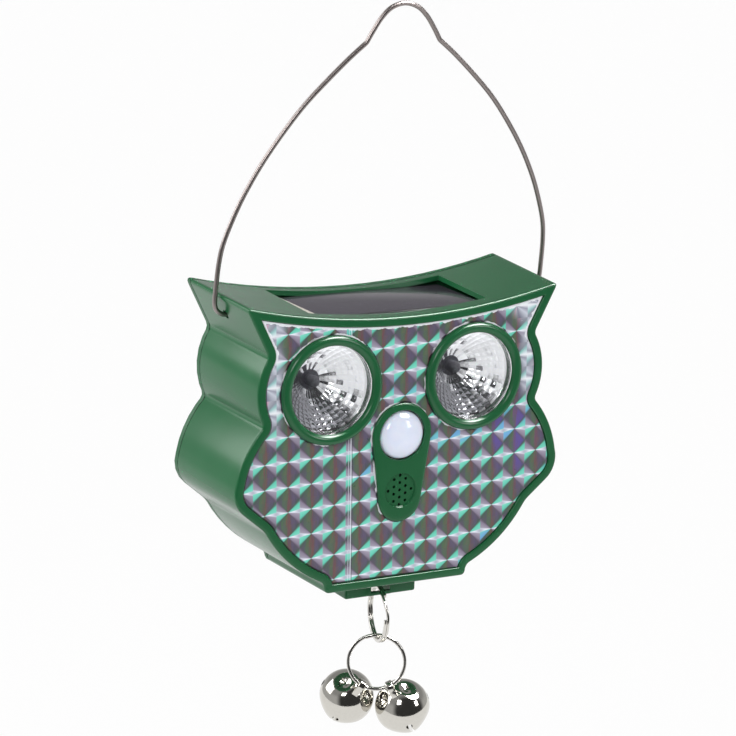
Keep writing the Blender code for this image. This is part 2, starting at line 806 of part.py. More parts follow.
def make_sensor():
    """The milky dome, and the sensor can on its own small board behind it."""
    base = FILM_FRONT
    apex = base - DOME_HEIGHT
    angles = np.linspace(0, math.pi / 2, 6)
    outer = [(DOME_RADIUS * math.sin(a), base - DOME_HEIGHT * math.cos(a)) for a in angles]
    hollow = DOME_RADIUS - DOME_WALL
    inner = [(hollow * math.sin(a), base - (DOME_HEIGHT - DOME_WALL) * math.cos(a)) for a in angles]
    skirt_back = base + DOME_SKIRT
    profile = outer + [(DOME_RADIUS, skirt_back), (hollow, skirt_back)] + inner[::-1]
    finish(turned_forward("pir_dome", [profile], 0, DOME_Z, 24), "dome", HOUSING)
    board_front = skirt_back + GAP
    board_back = board_front + SENSOR_BOARD_THICKNESS
    sensor = turned_forward("pir_sensor", [[
        (0, board_front - GAP - SENSOR_HEIGHT),
        (SENSOR_RADIUS, board_front - GAP - SENSOR_HEIGHT),
        (SENSOR_RADIUS, board_front - GAP),
        (0, board_front - GAP),
    ]], 0, DOME_Z, 20)
    finish(sensor, "nickel", HOUSING)
    board = cylinder("sensor_board", (0, board_front, DOME_Z), (0, board_back, DOME_Z), SENSOR_BOARD_RADIUS)
    finish(board, "board", HOUSING)


def make_speaker():
    front = CAVITY_FRONT + GAP
    cup = SPEAKER_RADIUS * 0.62
    speaker = turned_forward("speaker", [[
        (0, front + 0.40 * SPEAKER_DEPTH),
        (SPEAKER_RADIUS * 0.30, front + 0.40 * SPEAKER_DEPTH),
        (SPEAKER_RADIUS * 0.80, front),
        (SPEAKER_RADIUS, front),
        (SPEAKER_RADIUS, front + 0.35 * SPEAKER_DEPTH),
        (cup, front + 0.65 * SPEAKER_DEPTH),
        (cup, front + SPEAKER_DEPTH),
        (0, front + SPEAKER_DEPTH),
    ]], 0, GRILLE_Z, 24)
    finish(speaker, "black", HOUSING)


# Solar panel

def make_panel():
    back = PANEL_FRONT + PANEL_DEPTH
    bottom = PANEL_TOP_Z - PANEL_THICKNESS
    panel = box("solar_panel", (-PANEL_WIDTH / 2, PANEL_FRONT, bottom), (PANEL_WIDTH / 2, back, PANEL_TOP_Z))
    finish(panel, "cell", HOUSING)
    pad_top = bottom - GAP
    half = PANEL_WIDTH / 2 - PAD_MARGIN
    pad = box("panel_pad", (-half, PANEL_FRONT + PAD_MARGIN, pad_top - PAD_THICKNESS),
              (half, back - PAD_MARGIN, pad_top))
    finish(pad, "rubber", HOUSING)


# Back cover with the battery well and the cups of the controls

def well_size():
    """Half width and half height of the battery well's inside."""
    return CELL_LENGTH / 2 + CONTACT_ROOM, CELL_COUNT * CELL_PITCH / 2 + GAP


def make_back_cover():
    cover = slab("back_cover", OUTLINE, COVER_FRONT, COVER_BACK, drafted=True)
    half_width, half_height = well_size()
    well_front = COVER_BACK - DOOR_THICKNESS - GAP - WELL_DEPTH
    low = (-half_width, well_front, WELL_Z - half_height)
    high = (half_width, COVER_BACK + WALL, WELL_Z + half_height)
    grown_low = [value - WELL_WALL for value in low]
    grown_high = (high[0] + WELL_WALL, COVER_BACK - COVER_THICKNESS / 2, high[2] + WELL_WALL)
    join(cover, box("well_body", grown_low, grown_high))
    join(cover, cup_body("knob_cup", KNOB_X, KNOB_Z, KNOB_RADIUS))
    join(cover, cup_body("button_cup", BUTTON_X, BUTTON_Z, BUTTON_RADIUS))
    add_door_screw_post(cover)
    cut(cover, box("well_room", low, high))
    cut(cover, box("door_seat", *door_corners(GAP)))
    cut_door_screw_post(cover)
    cut_cup(cover, "knob_room", KNOB_X, KNOB_Z, KNOB_RADIUS)
    cut_cup(cover, "button_room", BUTTON_X, BUTTON_Z, BUTTON_RADIUS)
    for side in (-1, 1):
        for x, z in screw_places(side):
            cut_screw_seat(cover, x, z)
    seal_room = slab("seal_room", inset(OUTLINE, (WALL - GASKET_WIDTH) / 2 - GAP), COVER_FRONT - WALL,
                     SHELL_DEPTH + GASKET_HEIGHT + GAP, drafted=True)
    seal_core = slab("seal_core", inset(OUTLINE, (WALL + GASKET_WIDTH) / 2 + GAP), COVER_FRONT - 2 * WALL,
                     COVER_BACK, drafted=True)
    cut(seal_room, seal_core)
    cut(cover, seal_room)
    finish(cover, "cover", HOUSING)


def cup_body(name, x, z, radius):
    front = COVER_BACK - CUP_DEPTH - CUP_WALL
    reach = radius + CUP_CLEARANCE + CUP_WALL
    return cylinder(name, (x, front, z), (x, COVER_BACK - COVER_THICKNESS / 2, z), reach, 28)


def cut_cup(cover, name, x, z, radius):
    """A round room for a control and a hole for its stem."""
    front = COVER_BACK - CUP_DEPTH
    cut(cover, cylinder(name, (x, front, z), (x, COVER_BACK + WALL, z), radius + CUP_CLEARANCE, 28))
    stem = cylinder(name + "_stem", (x, front - WALL, z), (x, COVER_BACK, z), STEM_RADIUS + GAP, 16)
    cut(cover, stem)


def cut_screw_seat(cover, x, z):
    cut(cover, cylinder("screw_way", (x, COVER_FRONT - WALL, z), (x, COVER_BACK + WALL, z),
                        SCREW_SHANK_RADIUS + GAP, 12))
    cut(cover, cylinder("screw_seat", (x, COVER_BACK - SCREW_HEAD_HEIGHT - GAP, z), (x, COVER_BACK + WALL, z),
                        SCREW_HEAD_RADIUS + GAP, 16))


def door_corners(margin):
    """Corners of the battery door, or of its seat, which is larger by the margin."""
    half_width, half_height = well_size()
    reach = DOOR_LIP + margin
    front = COVER_BACK - DOOR_THICKNESS
    back = COVER_BACK + (WALL if margin else 0)
    low = (-half_width - reach, front - margin, WELL_Z - half_height - reach)
    return low, (half_width + reach, back, WELL_Z + half_height + reach + door_tab())


def door_tab():
    """How far the door and its seat reach above the well, for the door's screw."""
    return 2 * DOOR_CUP_RADIUS


def door_screw_z():
    return door_corners(0)[1][2] - DOOR_CUP_RADIUS - GAP


def door_cup_front():
    """Depth of the floor under the door screw's head."""
    return COVER_BACK - SCREW_HEAD_HEIGHT - 2 * GAP - DOOR_CUP_FLOOR


def add_door_screw_post(cover):
    """A post in front of the door's top, with room for the door's cup and a pilot hole."""
    z = door_screw_z()
    post_front = COVER_BACK - DOOR_SCREW_LENGTH - WALL
    join(cover, cylinder("door_post", (0, post_front, z), (0, COVER_BACK - COVER_THICKNESS / 2, z),
                         DOOR_CUP_RADIUS + GAP + WELL_WALL, 24))


def cut_door_screw_post(cover):
    z = door_screw_z()
    cut(cover, cylinder("door_cup_room", (0, door_cup_front() - GAP, z), (0, COVER_BACK + WALL, z),
                        DOOR_CUP_RADIUS + GAP, 24))
    cut(cover, cylinder("door_pilot", (0, COVER_BACK - DOOR_SCREW_LENGTH - 2 * WALL, z), (0, COVER_BACK, z),
                        SCREW_SHANK_RADIUS + GAP, 12))


def make_battery_door():
    """A flush lid with a cup at its top, in which its screw's head sits."""
    door = box("battery_door", *door_corners(0))
    z = door_screw_z()
    front = door_cup_front()
    join(door, cylinder("door_cup", (0, front, z), (0, COVER_BACK - DOOR_THICKNESS / 2, z),
                        DOOR_CUP_RADIUS, 24))
    cut(door, cylinder("door_head_room", (0, front + DOOR_CUP_FLOOR, z), (0, COVER_BACK + WALL, z),
                       SCREW_HEAD_RADIUS + GAP, 16))
    cut(door, cylinder("door_screw_way", (0, front - WALL, z), (0, COVER_BACK, z),
                       SCREW_SHANK_RADIUS + GAP, 12))
    finish(door, "cover", DOOR)
    make_screw("door_screw", 0, z, COVER_BACK - GAP, DOOR_SCREW_LENGTH, DOOR)


def make_batteries():
    half_width, half_height = well_size()
    y = COVER_BACK - DOOR_THICKNESS - 2 * GAP - CELL_RADIUS - GAP
    half = CELL_LENGTH / 2
    for number in range(CELL_COUNT):
        z = WELL_Z + (number - (CELL_COUNT - 1) / 2) * CELL_PITCH
        nub = CELL_RADIUS * 0.38
        cell = turned("battery_%d" % (number + 1), [[
            (0, half),
            (nub, half),
            (nub, half - CELL_NUB_LENGTH),
            (CELL_RADIUS, half - CELL_NUB_LENGTH),
            (CELL_RADIUS, -half),
            (0, -half),
        ]], 20)
        cell.rotation_euler = (0, math.radians(90 if number % 2 else -90), 0)
        cell.location = at(0, y, z)
        finish(cell, "sleeve", HOUSING)
    for name, side in (("left", -1), ("right", 1)):
        outer = side * (half_width - GAP)
        ends = sorted((outer, outer - side * CONTACT_THICKNESS))
        plate = box("battery_contacts_" + name,
                    (ends[0], y - CELL_RADIUS * 0.6, WELL_Z - half_height + GAP),
                    (ends[1], y + CELL_RADIUS * 0.6, WELL_Z + half_height - GAP))
        finish(plate, "nickel", HOUSING)


def make_screw(name, x, z, back, length, parent):
    """A pan-head screw with a cross recess, driven in from the back."""
    under_head = back - SCREW_HEAD_HEIGHT
    tip = back - length
    screw = turned_forward(name, [[
        (0, tip),
        (SCREW_SHANK_RADIUS, tip + SCREW_SHANK_RADIUS),
        (SCREW_SHANK_RADIUS, under_head),
        (SCREW_HEAD_RADIUS, under_head),
        (SCREW_HEAD_RADIUS, back - SCREW_HEAD_HEIGHT * 0.3),
        (SCREW_HEAD_RADIUS * 0.8, back),
        (0, back),
    ]], x, z, 12)
    reach = SCREW_HEAD_RADIUS * 0.6
    half = SCREW_HEAD_RADIUS * 0.12
    depth = SCREW_HEAD_HEIGHT * 0.6
    for across, up in ((reach, half), (half, reach)):
        slot = box("screw_cross", (x - across, back - depth, z - up), (x + across, back + depth, z + up))
        cut(screw, slot)
    finish(screw, "nickel", parent)


def make_screws():
    number = 1
    for side in (-1, 1):
        for x, z in screw_places(side):
            make_screw("cover_screw_%d" % number, x, z, COVER_BACK, SCREW_LENGTH, HOUSING)
            number += 1


# Circuit board and its wires

def board_back():
    """Depth of the board's back, which clears the battery well's front wall."""
    return COVER_BACK - DOOR_THICKNESS - GAP - WELL_DEPTH - WELL_WALL - BOARD_CLEARANCE


def make_board():
    half = BOARD_WIDTH / 2
    back = board_back()
    board = box("circuit_board", (-half, back - BOARD_THICKNESS, BOARD_BOTTOM_Z),
                (half, back, BOARD_BOTTOM_Z + BOARD_HEIGHT))
    for x, z in ((KNOB_X, KNOB_Z), (BUTTON_X, BUTTON_Z)):
        part = cylinder("control_body", (x, back - BOARD_THICKNESS / 2, z), (x, switch_back(), z),
                        STEM_RADIUS * 2, 16)
        join(board, part)
    finish(board, "board", HOUSING)


def switch_back():
    """Depth at which the controls' stems meet the switch bodies on the board."""
    return COVER_BACK - CUP_DEPTH - STEM_LENGTH - BUTTON_TRAVEL - GAP


def make_leads():
    """Wires from the panel and the speaker to the front of the board."""
    board_y = board_back() - BOARD_THICKNESS - GAP - LEAD_RADIUS
    board_top = BOARD_BOTTOM_Z + BOARD_HEIGHT
    solar_x = BOARD_WIDTH / 2 - LEAD_MARGIN
    tray_z = panel_floor_z() - WALL - GAP - LEAD_RADIUS
    speaker_y = CAVITY_FRONT + GAP + SPEAKER_DEPTH + GAP + LEAD_RADIUS
    speaker_z = BOARD_BOTTOM_Z + LEAD_MARGIN
    routes = {
        "solar_lead": (
            (solar_x - 0.6 * LEAD_MARGIN, board_y + LEAD_SWING, tray_z),
            (solar_x - 0.4 * LEAD_MARGIN, board_y + 0.5 * LEAD_SWING, tray_z - 0.5 * LEAD_SWING),
            (solar_x, board_y - LEAD_RADIUS, board_top - LEAD_RADIUS),
            (solar_x, board_y, board_top - LEAD_MARGIN),
        ),
        "speaker_lead": (
            (0.0, speaker_y, GRILLE_Z),
            (0.5 * LEAD_SWING, speaker_y + 0.2 * LEAD_SWING, GRILLE_Z),
            (1.2 * LEAD_SWING, board_y - 0.3 * LEAD_SWING, speaker_z),
            (1.7 * LEAD_SWING, board_y, speaker_z + LEAD_MARGIN),
        ),
    }
    for name, route in routes.items():
        points = [at(*point) for point in smooth_through(route, 4)]
        finish(tube(name, points, LEAD_RADIUS), "red", HOUSING)


# Controls

def make_knob():
    """A pointer knob in its round room, on a stem that reaches the board."""
    back = COVER_BACK - GAP
    front = back - KNOB_HEIGHT
    stem_front = COVER_BACK - CUP_DEPTH - STEM_LENGTH
    knob = turned_forward("mode_knob", [[
        (0, stem_front),
        (STEM_RADIUS, stem_front),
        (STEM_RADIUS, front),
        (KNOB_RADIUS, front),
        (KNOB_RADIUS * 0.94, back),
        (0, back),
    ]], KNOB_X, KNOB_Z, 28)
    half = KNOB_GROOVE_WIDTH / 2
    pointer = box("pointer_groove", (KNOB_X - half, back - KNOB_GROOVE_DEPTH, KNOB_Z + KNOB_RADIUS * 0.35),
                  (KNOB_X + half, back + WALL, KNOB_Z + KNOB_RADIUS * 1.1))
    cut(knob, pointer)
    place = pivot("mode_knob_pivot", at(KNOB_X, back, KNOB_Z), HOUSING)
    finish(knob, "black", place)


def make_button():
    back = COVER_BACK - GAP
    front = back - BUTTON_HEIGHT
    stem_front = COVER_BACK - CUP_DEPTH - STEM_LENGTH
    button = turned_forward("power_button", [[
        (0, stem_front),
        (STEM_RADIUS, stem_front),
        (STEM_RADIUS, front),
        (BUTTON_RADIUS, front),
        (BUTTON_RADIUS, back - BUTTON_EDGE),
        (BUTTON_RADIUS * 0.85, back),
        (0, back),
    ]], BUTTON_X, BUTTON_Z, 24)
    place = pivot("power_button_pivot", at(BUTTON_X, back, BUTTON_Z), HOUSING)
    finish(button, "black", place)


# Wire bail

def bail_point(half_width, height, side):
    """World place of a point of the bail, which leans forwards and has slid to one side in its holes."""
    slide = BAIL_SLIDE * (1 - (height / BAIL_HEIGHT)**4)
    return at(
        side * half_width + slide,
        HINGE_Y - height * math.sin(BAIL_TILT),
        HINGE_Z + height * math.cos(BAIL_TILT),
    )


def make_bail():
    in_ear = ((BAIL_END_X, 0), ((BAIL_END_X + BAIL_LEG[0][0]) / 2, 0))
    leg = smooth_through(in_ear + BAIL_LEG, 2)
    hump = smooth_through((BAIL_LEG[-1],) + BAIL_HUMP + ((0, BAIL_HEIGHT),), 2)
    half = np.vstack((leg, hump[1:]))
    points = [bail_point(x, z, -1) for x, z in half]
    points += [bail_point(x, z, 1) for x, z in half[-2::-1]]
    finish(tube("wire_bail", points, BAIL_WIRE_RADIUS), "wire", BAIL)


# Bracket and rings

def bar_top():
    """Middle of the top of the bar that the upper ring hangs on."""
    return 0.0, BRACKET_FRONT + BAR_THICKNESS / 2, BAR_HEIGHT - BRACKET_HEIGHT


def make_bracket():
    half = BRACKET_WIDTH / 2
    back = BRACKET_FRONT + BRACKET_DEPTH
    bracket = box("bell_bracket", (-half, BRACKET_FRONT, -BRACKET_HEIGHT), (half, back, WALL), BRACKET_ROUND)
    housing = slab("housing_room", OUTLINE, 0, SHELL_DEPTH, drafted=True)
    housing.location.z -= GAP
    cut(bracket, housing)
    slot = box("ring_slot", (-SLOT_WIDTH / 2, BRACKET_FRONT - WALL, -BRACKET_HEIGHT - WALL),
               (SLOT_WIDTH / 2, BRACKET_FRONT + SLOT_DEPTH, WALL))
    cut(bracket, slot)
    reach = (SLOT_WIDTH + WALL) / 2
    bar = box("ring_bar", (-reach, BRACKET_FRONT, -BRACKET_HEIGHT),
              (reach, BRACKET_FRONT + BAR_THICKNESS, bar_top()[2]), BAR_ROUND)
    join(bracket, bar)
    finish(bracket, "green", HOUSING)


def ring_section(radius, wire, width):
    """Section of a ring with its corners cut, from its outer top round to its inner side."""
    corner = min(wire, width) * 0.3
    half = width / 2
    inner = radius - wire
    return [
        (radius - corner, half), (radius, half - corner), (radius, corner - half), (radius - corner, -half),
        (inner + corner, -half), (inner, corner - half), (inner, half - corner), (inner + corner, half),
    ]


def make_ring(name, centre, turn, radius, wire, width, parent):
    """An upright ring whose level diameter points to +X, turned about the vertical."""
    ring = turned(name, [ring_section(radius, wire, width)], 28)
    ring.matrix_world = Matrix.Translation(centre) @ Matrix.Rotation(turn, 4, "Z") @ Matrix.Rotation(
        math.pi / 2, 4, "X")
    finish(ring, "nickel", parent, 60)


def upper_ring_centre():
    """The ring hangs on the bar, with a little slack over the bar's upper edges."""
    inner = UPPER_RING_RADIUS - UPPER_RING_WIRE
    return at(*bar_top()) - Vector((0, 0, math.sqrt(inner**2 - (BAR_THICKNESS / 2)**2) - RING_SLACK))


def lower_link_place():
    """Middle of the upper ring's wire at its lowest point, which the lower ring hangs on."""
    return upper_ring_centre() - Vector((0, 0, UPPER_RING_RADIUS - UPPER_RING_WIRE / 2))


def lower_ring_centre():
    drop = LOWER_RING_RADIUS - LOWER_RING_WIRE - UPPER_RING_WIRE / 2 - GAP
    return lower_link_place() - Vector((0, 0, drop))


def ring_frame():
    """The lower ring's own directions: across to the right, up, and out of its front."""
    across = Vector((math.cos(LOWER_RING_TURN), math.sin(LOWER_RING_TURN), 0))
    up = Vector((0, 0, 1))
    return across, up, across.cross(up)


# Bells

def bell_frame(bell):
    """Place of the ring's wire in the bell's loop, its direction there, and the bell's crown direction."""
    across, up, front = ring_frame()
    place = bell["place"]
    middle = LOWER_RING_RADIUS - LOWER_RING_WIRE / 2
    link = lower_ring_centre() + middle * (math.sin(place) * across - math.cos(place) * up)
    tangent = math.cos(place) * across + math.sin(place) * up
    aside, height, outward = bell["crown"]
    crown = (aside * across + height * up + outward * front).normalized()
    return link, tangent, crown


def link_height():
    """Height of the ring's wire above the bell's centre, along its crown."""
    loop_top = BELL_RADIUS + BELL_LOOP_RISE + BELL_LOOP_RADIUS - BELL_LOOP_WIRE / 2
    return loop_top - math.hypot(LOWER_RING_WIRE, LOWER_RING_WIDTH) / 2 - BELL_LOOP_SLACK


def bell_shell(name):
    """A round shell, a little squarer towards the four slots in its lower half."""
    work = bmesh.new()
    bmesh.ops.create_uvsphere(work, u_segments=20, v_segments=10, radius=BELL_RADIUS)
    for vertex in work.verts:
        across = math.hypot(vertex.co.x, vertex.co.y)
        azimuth = math.atan2(vertex.co.y, vertex.co.x)
        low = min(max(-vertex.co.z / BELL_RADIUS, 0), 1) * min(across / BELL_RADIUS * 1.5, 1)
        vertex.co *= 1 - BELL_SQUARENESS * low * (1 - math.cos(4 * azimuth))
    obj = add_object(name, mesh_from(name, work))
    solidify = obj.modifiers.new("metal sheet", "SOLIDIFY")
    solidify.thickness = BELL_WALL
    solidify.offset = -1
    return obj


def make_bell(side, bell, parent):
    link, tangent, crown = bell_frame(bell)
    centre = link - crown * link_height()
    aside = (tangent - tangent.dot(crown) * crown).normalized()
    third = crown.cross(aside)
    frame = Matrix((aside, third, crown)).transposed().to_4x4()
    frame.translation = centre
    swing = pivot("bell_%s_pivot" % side, link, parent)
    shell = bell_shell("bell_" + side)
    shell.matrix_world = frame
    add_loop(shell, side, frame)
    cut_slots(shell, side, frame)
    finish(shell, "nickel", swing, 50)
    return swing, centre


def add_loop(shell, side, frame):
    """An arch over the crown, square to the way that the ring's wire takes."""
    base = BELL_RADIUS + BELL_LOOP_RISE
    angles = np.linspace(0, math.pi, 9)
    arch = [(0, BELL_LOOP_RADIUS * math.cos(a), base + BELL_LOOP_RADIUS * math.sin(a)) for a in angles]
    foot = BELL_RADIUS - BELL_WALL * 0.9
    points = [(0, BELL_LOOP_RADIUS, foot)] + arch + [(0, -BELL_LOOP_RADIUS, foot)]
    join(shell, tube("loop_" + side, [frame @ Vector(point) for point in points], BELL_LOOP_WIRE / 2))


def cut_slots(shell, side, frame):
    """Two crossed slots in the lower half, with a round hole at each end."""
    for turn in (0, 1):
        work = bmesh.new()
        bmesh.ops.create_cube(work, size=1.0)
        size = Vector((2.4 * BELL_RADIUS, BELL_SLOT_WIDTH, 1.4 * BELL_RADIUS))
        bmesh.ops.scale(work, vec=size, verts=work.verts)
        # The second slot ends a touch lower, which keeps the two tops out of one plane
        drop = -BELL_SLOT_TOP - turn * GAP / 10 - size.z / 2
        slot = add_object("bell_slot_%s_%d" % (side, turn), mesh_from("bell_slot", work))
        turned_frame = frame @ Matrix.Rotation(turn * math.pi / 2, 4, "Z")
        slot.matrix_world = turned_frame @ Matrix.Translation((0, 0, drop))
        cut(shell, slot)
        work = bmesh.new()
        bmesh.ops.create_cone(work, cap_ends=True, segments=12, radius1=BELL_SLOT_HOLE_RADIUS,
                              radius2=BELL_SLOT_HOLE_RADIUS, depth=2.4 * BELL_RADIUS)
        hole = add_object("bell_hole_%s_%d" % (side, turn), mesh_from("bell_hole", work))
        hole.matrix_world = turned_frame @ Matrix.Translation((0, 0, -BELL_SLOT_TOP)) @ Matrix.Rotation(
            math.pi / 2, 4, "Y")
        cut(shell, hole)


def make_ball(side, centre, parent):
    """The loose ball, which lies in the bottom of its bell."""
    drop = BELL_RADIUS * (1 - 2 * BELL_SQUARENESS) - BELL_WALL - BELL_BALL_RADIUS - GAP
    work = bmesh.new()
    bmesh.ops.create_uvsphere(work, u_segments=12, v_segments=8, radius=BELL_BALL_RADIUS)
    ball = add_object("bell_ball_" + side, mesh_from("ball", work))
    ball.location = centre - Vector((0, 0, drop))
    place = pivot("bell_ball_%s_pivot" % side, ball.location, parent)
    finish(ball, "wire", place)


def make_bells():
    upper = pivot("upper_ring_pivot", at(*bar_top()), HOUSING)
    make_ring("upper_ring", upper_ring_centre(), math.pi / 2 - UPPER_RING_TURN, UPPER_RING_RADIUS,
              UPPER_RING_WIRE, UPPER_RING_WIDTH, upper)
    lower = pivot("lower_ring_pivot", lower_link_place(), upper)
    make_ring("lower_ring", lower_ring_centre(), LOWER_RING_TURN, LOWER_RING_RADIUS,
              LOWER_RING_WIRE, LOWER_RING_WIDTH, lower)
    for side, bell in BELLS.items():
        swing, centre = make_bell(side, bell, lower)
        make_ball(side, centre, swing)


BAIL = pivot("bail_hang_point", Vector((0, 0, 0)))
HOUSING = pivot("housing_pivot", at(0, HINGE_Y, HINGE_Z), BAIL)
DOOR = pivot("battery_door_pivot", at(0, COVER_BACK, door_corners(0)[0][2]), HOUSING)

make_front_housing()
make_film()
make_gasket()
make_back_cover()
make_battery_door()
make_batteries()
make_screws()
for eye_side, eye_sign in (("left", -1), ("right", 1)):
    make_eye(eye_side, eye_sign)
make_nose_plate()
make_sensor()
make_speaker()
make_panel()
make_board()
make_leads()
make_knob()
make_button()
make_bail()
make_bracket()
make_bells()
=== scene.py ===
# Solar animal repeller: an owl-head housing on a wire bail, with two bells under it
import json
import math

import bmesh
import bpy
import numpy as np
from mathutils import Euler, Matrix


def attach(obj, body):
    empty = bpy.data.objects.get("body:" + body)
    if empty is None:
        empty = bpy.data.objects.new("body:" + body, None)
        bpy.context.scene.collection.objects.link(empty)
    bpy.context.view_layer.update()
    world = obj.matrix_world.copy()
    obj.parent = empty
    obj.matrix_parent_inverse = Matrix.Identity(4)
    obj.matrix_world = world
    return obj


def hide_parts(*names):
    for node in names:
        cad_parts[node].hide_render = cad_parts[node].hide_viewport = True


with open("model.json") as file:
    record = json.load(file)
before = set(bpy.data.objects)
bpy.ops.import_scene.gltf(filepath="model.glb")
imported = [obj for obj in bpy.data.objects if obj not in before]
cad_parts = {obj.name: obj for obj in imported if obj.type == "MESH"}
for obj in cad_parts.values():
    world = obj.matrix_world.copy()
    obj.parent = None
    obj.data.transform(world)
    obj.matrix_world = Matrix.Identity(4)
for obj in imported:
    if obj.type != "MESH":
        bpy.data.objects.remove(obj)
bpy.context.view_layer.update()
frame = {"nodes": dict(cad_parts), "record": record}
record = frame["record"]
bodyOf = {node: body for body, held in record["behaviour"]["bodies"].items() for node in held}
print("frame loaded:", len(frame["nodes"]), "nodes")

# Lengths are in mm from the middle of the housing's foot at its front; the hang point is the world's origin
hangPoint = np.array((0.0, 11.495, 237.745))
gap = 0.3
draft = {"perMm": 0.00043, "centreZ": 30.0}


def place(points):
    # world place = (point - hang point) / 1000
    return (np.asarray(points, float) - hangPoint) / 1000


def stacked(*parts):
    # the parts side by side along a last axis, each spread over the shape of the others
    return np.stack(np.broadcast_arrays(*parts), -1)


def turns(count):
    # the angles of equal steps round a full turn
    return np.arange(count) * 2 * math.pi / count


def addObject(name, data):
    made = bpy.data.objects.new(name, data)
    bpy.context.scene.collection.objects.link(made)
    return made


# Meshes from grids

def shade(mesh, angle):
    # doubles merged, normals outward, and an edge stays sharp where its two faces turn by more than the angle
    work = bmesh.new()
    work.from_mesh(mesh)
    bmesh.ops.remove_doubles(work, verts=work.verts, dist=2e-6)
    bmesh.ops.dissolve_degenerate(work, edges=work.edges, dist=1e-6)
    bmesh.ops.recalc_face_normals(work, faces=work.faces)
    for face in work.faces:
        face.smooth = True
    for edge in work.edges:
        edge.smooth = edge.calc_face_angle(0) < math.radians(angle)
    work.to_mesh(mesh)
    work.free()


def surface(name, grid, wrapRows=False, caps=False, angle=35):
    # each row is a closed ring; face (r, c) joins points (r, c), (r, c + 1), (r + 1, c + 1) and (r + 1, c)
    rows, columns = grid.shape[:2]
    r = np.arange(rows if wrapRows else rows - 1)[:, None]
    c = np.arange(columns)[None, :]
    below = (r + 1) % rows * columns
    ahead = (c + 1) % columns
    faces = stacked(r * columns + c, r * columns + ahead, below + ahead, below + c).reshape(-1, 4).tolist()
    if caps:
        faces += [list(range(columns)), list(range((rows - 1) * columns, rows * columns))]
    mesh = bpy.data.meshes.new(name)
    mesh.from_pydata(place(grid.reshape(-1, 3)).tolist(), [], faces)
    shade(mesh, angle)
    return addObject(name, mesh)


def bend(start, corner, end, t):
    # start (1 - t)^2 + 2 corner t (1 - t) + end t^2
    return start * (1 - t)**2 + corner * 2 * t * (1 - t) + end * t**2


def softened(profile, cut, parts=5, closed=True):
    # each corner becomes the bend that starts cut before it and ends cut after it
    profile = np.asarray(profile, float)
    back = np.roll(profile, 1, axis=0) - profile
    ahead = np.roll(profile, -1, axis=0) - profile
    reach = np.asarray(cut, float) * np.ones(len(profile))

    def towards(side):
        length = np.maximum(np.linalg.norm(side, axis=1), 1e-9)
        return (profile + side * (np.minimum(reach, 0.45 * length) / length)[:, None])[:, None]

    curve = bend(towards(back), profile[:, None], towards(ahead), np.linspace(0, 1, parts)[None, :, None])
    if not closed:
        curve[0], curve[-1] = profile[0], profile[-1]
    return curve.reshape(-1, 2)


def revolve(name, profile, x, z, steps=96, angle=35):
    # (radius r, depth y) turned about a front-to-back line: x + r sin a, y, z + r cos a
    profile = np.asarray(profile, float)
    r, y, a = profile[:, :1], profile[:, 1:], turns(steps)
    return surface(name, stacked(x + r * np.sin(a), y, z + r * np.cos(a)), wrapRows=True, angle=angle)


def loft(name, outline, section, angle=35, wrap=False, lean=True):
    # the outline moved inwards by d at depth y, for each (d, y) of the section; where it leans, a point at
    # depth y then moves away from the draft's centre by the draft's share of y
    rings, known = [], {}
    for d, y in np.asarray(section, float):
        key = round(float(d), 4)
        if key not in known:
            known[key] = inset(outline, key)
        rings.append(stacked(known[key][:, 0], y, known[key][:, 1]))
    grid = np.array(rings)
    if lean:
        growth = 1 + draft["perMm"] * grid[..., 1]
        grid[..., 0] *= growth
        grid[..., 2] = draft["centreZ"] + (grid[..., 2] - draft["centreZ"]) * growth
    return surface(name, grid, wrapRows=wrap, caps=not wrap, angle=angle)


def sweep(name, path, normal, section, angle=35):
    # section point (s, n) at each path point: path + s * (tangent x normal) + n * normal
    path = np.asarray(path, float)
    tangent = np.gradient(path, axis=0)
    tangent /= np.linalg.norm(tangent, axis=1)[:, None]
    normal = np.asarray(normal, float) * np.ones_like(path)
    side = np.cross(tangent, normal)
    side /= np.linalg.norm(side, axis=1)[:, None]
    up = np.cross(side, tangent)
    section = np.asarray(section, float)
    grid = path[:, None] + section[None, :, :1] * side[:, None] + section[None, :, 1:] * up[:, None]
    return surface(name, grid, caps=True, angle=angle)


def smoothThrough(points, parts):
    # a Catmull-Rom curve through the points, each span cut into equal parts
    points = np.asarray(points, float)
    p = np.vstack((2 * points[0] - points[1], points, 2 * points[-1] - points[-2]))
    t = (np.arange(parts) / parts)[None, :, None]
    a, b, c, d = (p[k:len(p) - 3 + k][:, None] for k in range(4))
    curve = 0.5 * (2 * b + (c - a) * t + (2 * a - 5 * b + 4 * c - d) * t**2 + (3 * b - a - 3 * c + d) * t**3)
    return np.vstack((curve.reshape(-1, points.shape[1]), points[-1:]))


def boxTool(low, high, corner=0.0):
    # a box between two corners, as a rounded rectangle in x and y carried from the lower to the upper z
    (x0, y0, z0), (x1, y1, z1) = low, high
    flat = np.array(((x0, y0), (x1, y0), (x1, y1), (x0, y1)), float)
    if corner:
        flat = softened(flat, corner, 6)
    return surface("tool", np.stack([stacked(*flat.T, z) for z in (z0, z1)]), caps=True)


def drum(x, z, radius, front=-2, back=6, steps=96):
    return revolve("tool", ((0, front), (radius, front), (radius, back), (0, back)), x, z, steps)


def combine(piece, tools, operation="DIFFERENCE", angle=35):
    # exact Booleans, one after the other, with the result kept in the mesh
    for tool in tools:
        step = piece.modifiers.new("step", "BOOLEAN")
        step.operation = operation
        step.solver = "EXACT"
        step.object = tool
    keep(piece, angle)
    for tool in tools:
        bpy.data.objects.remove(tool)
    return piece


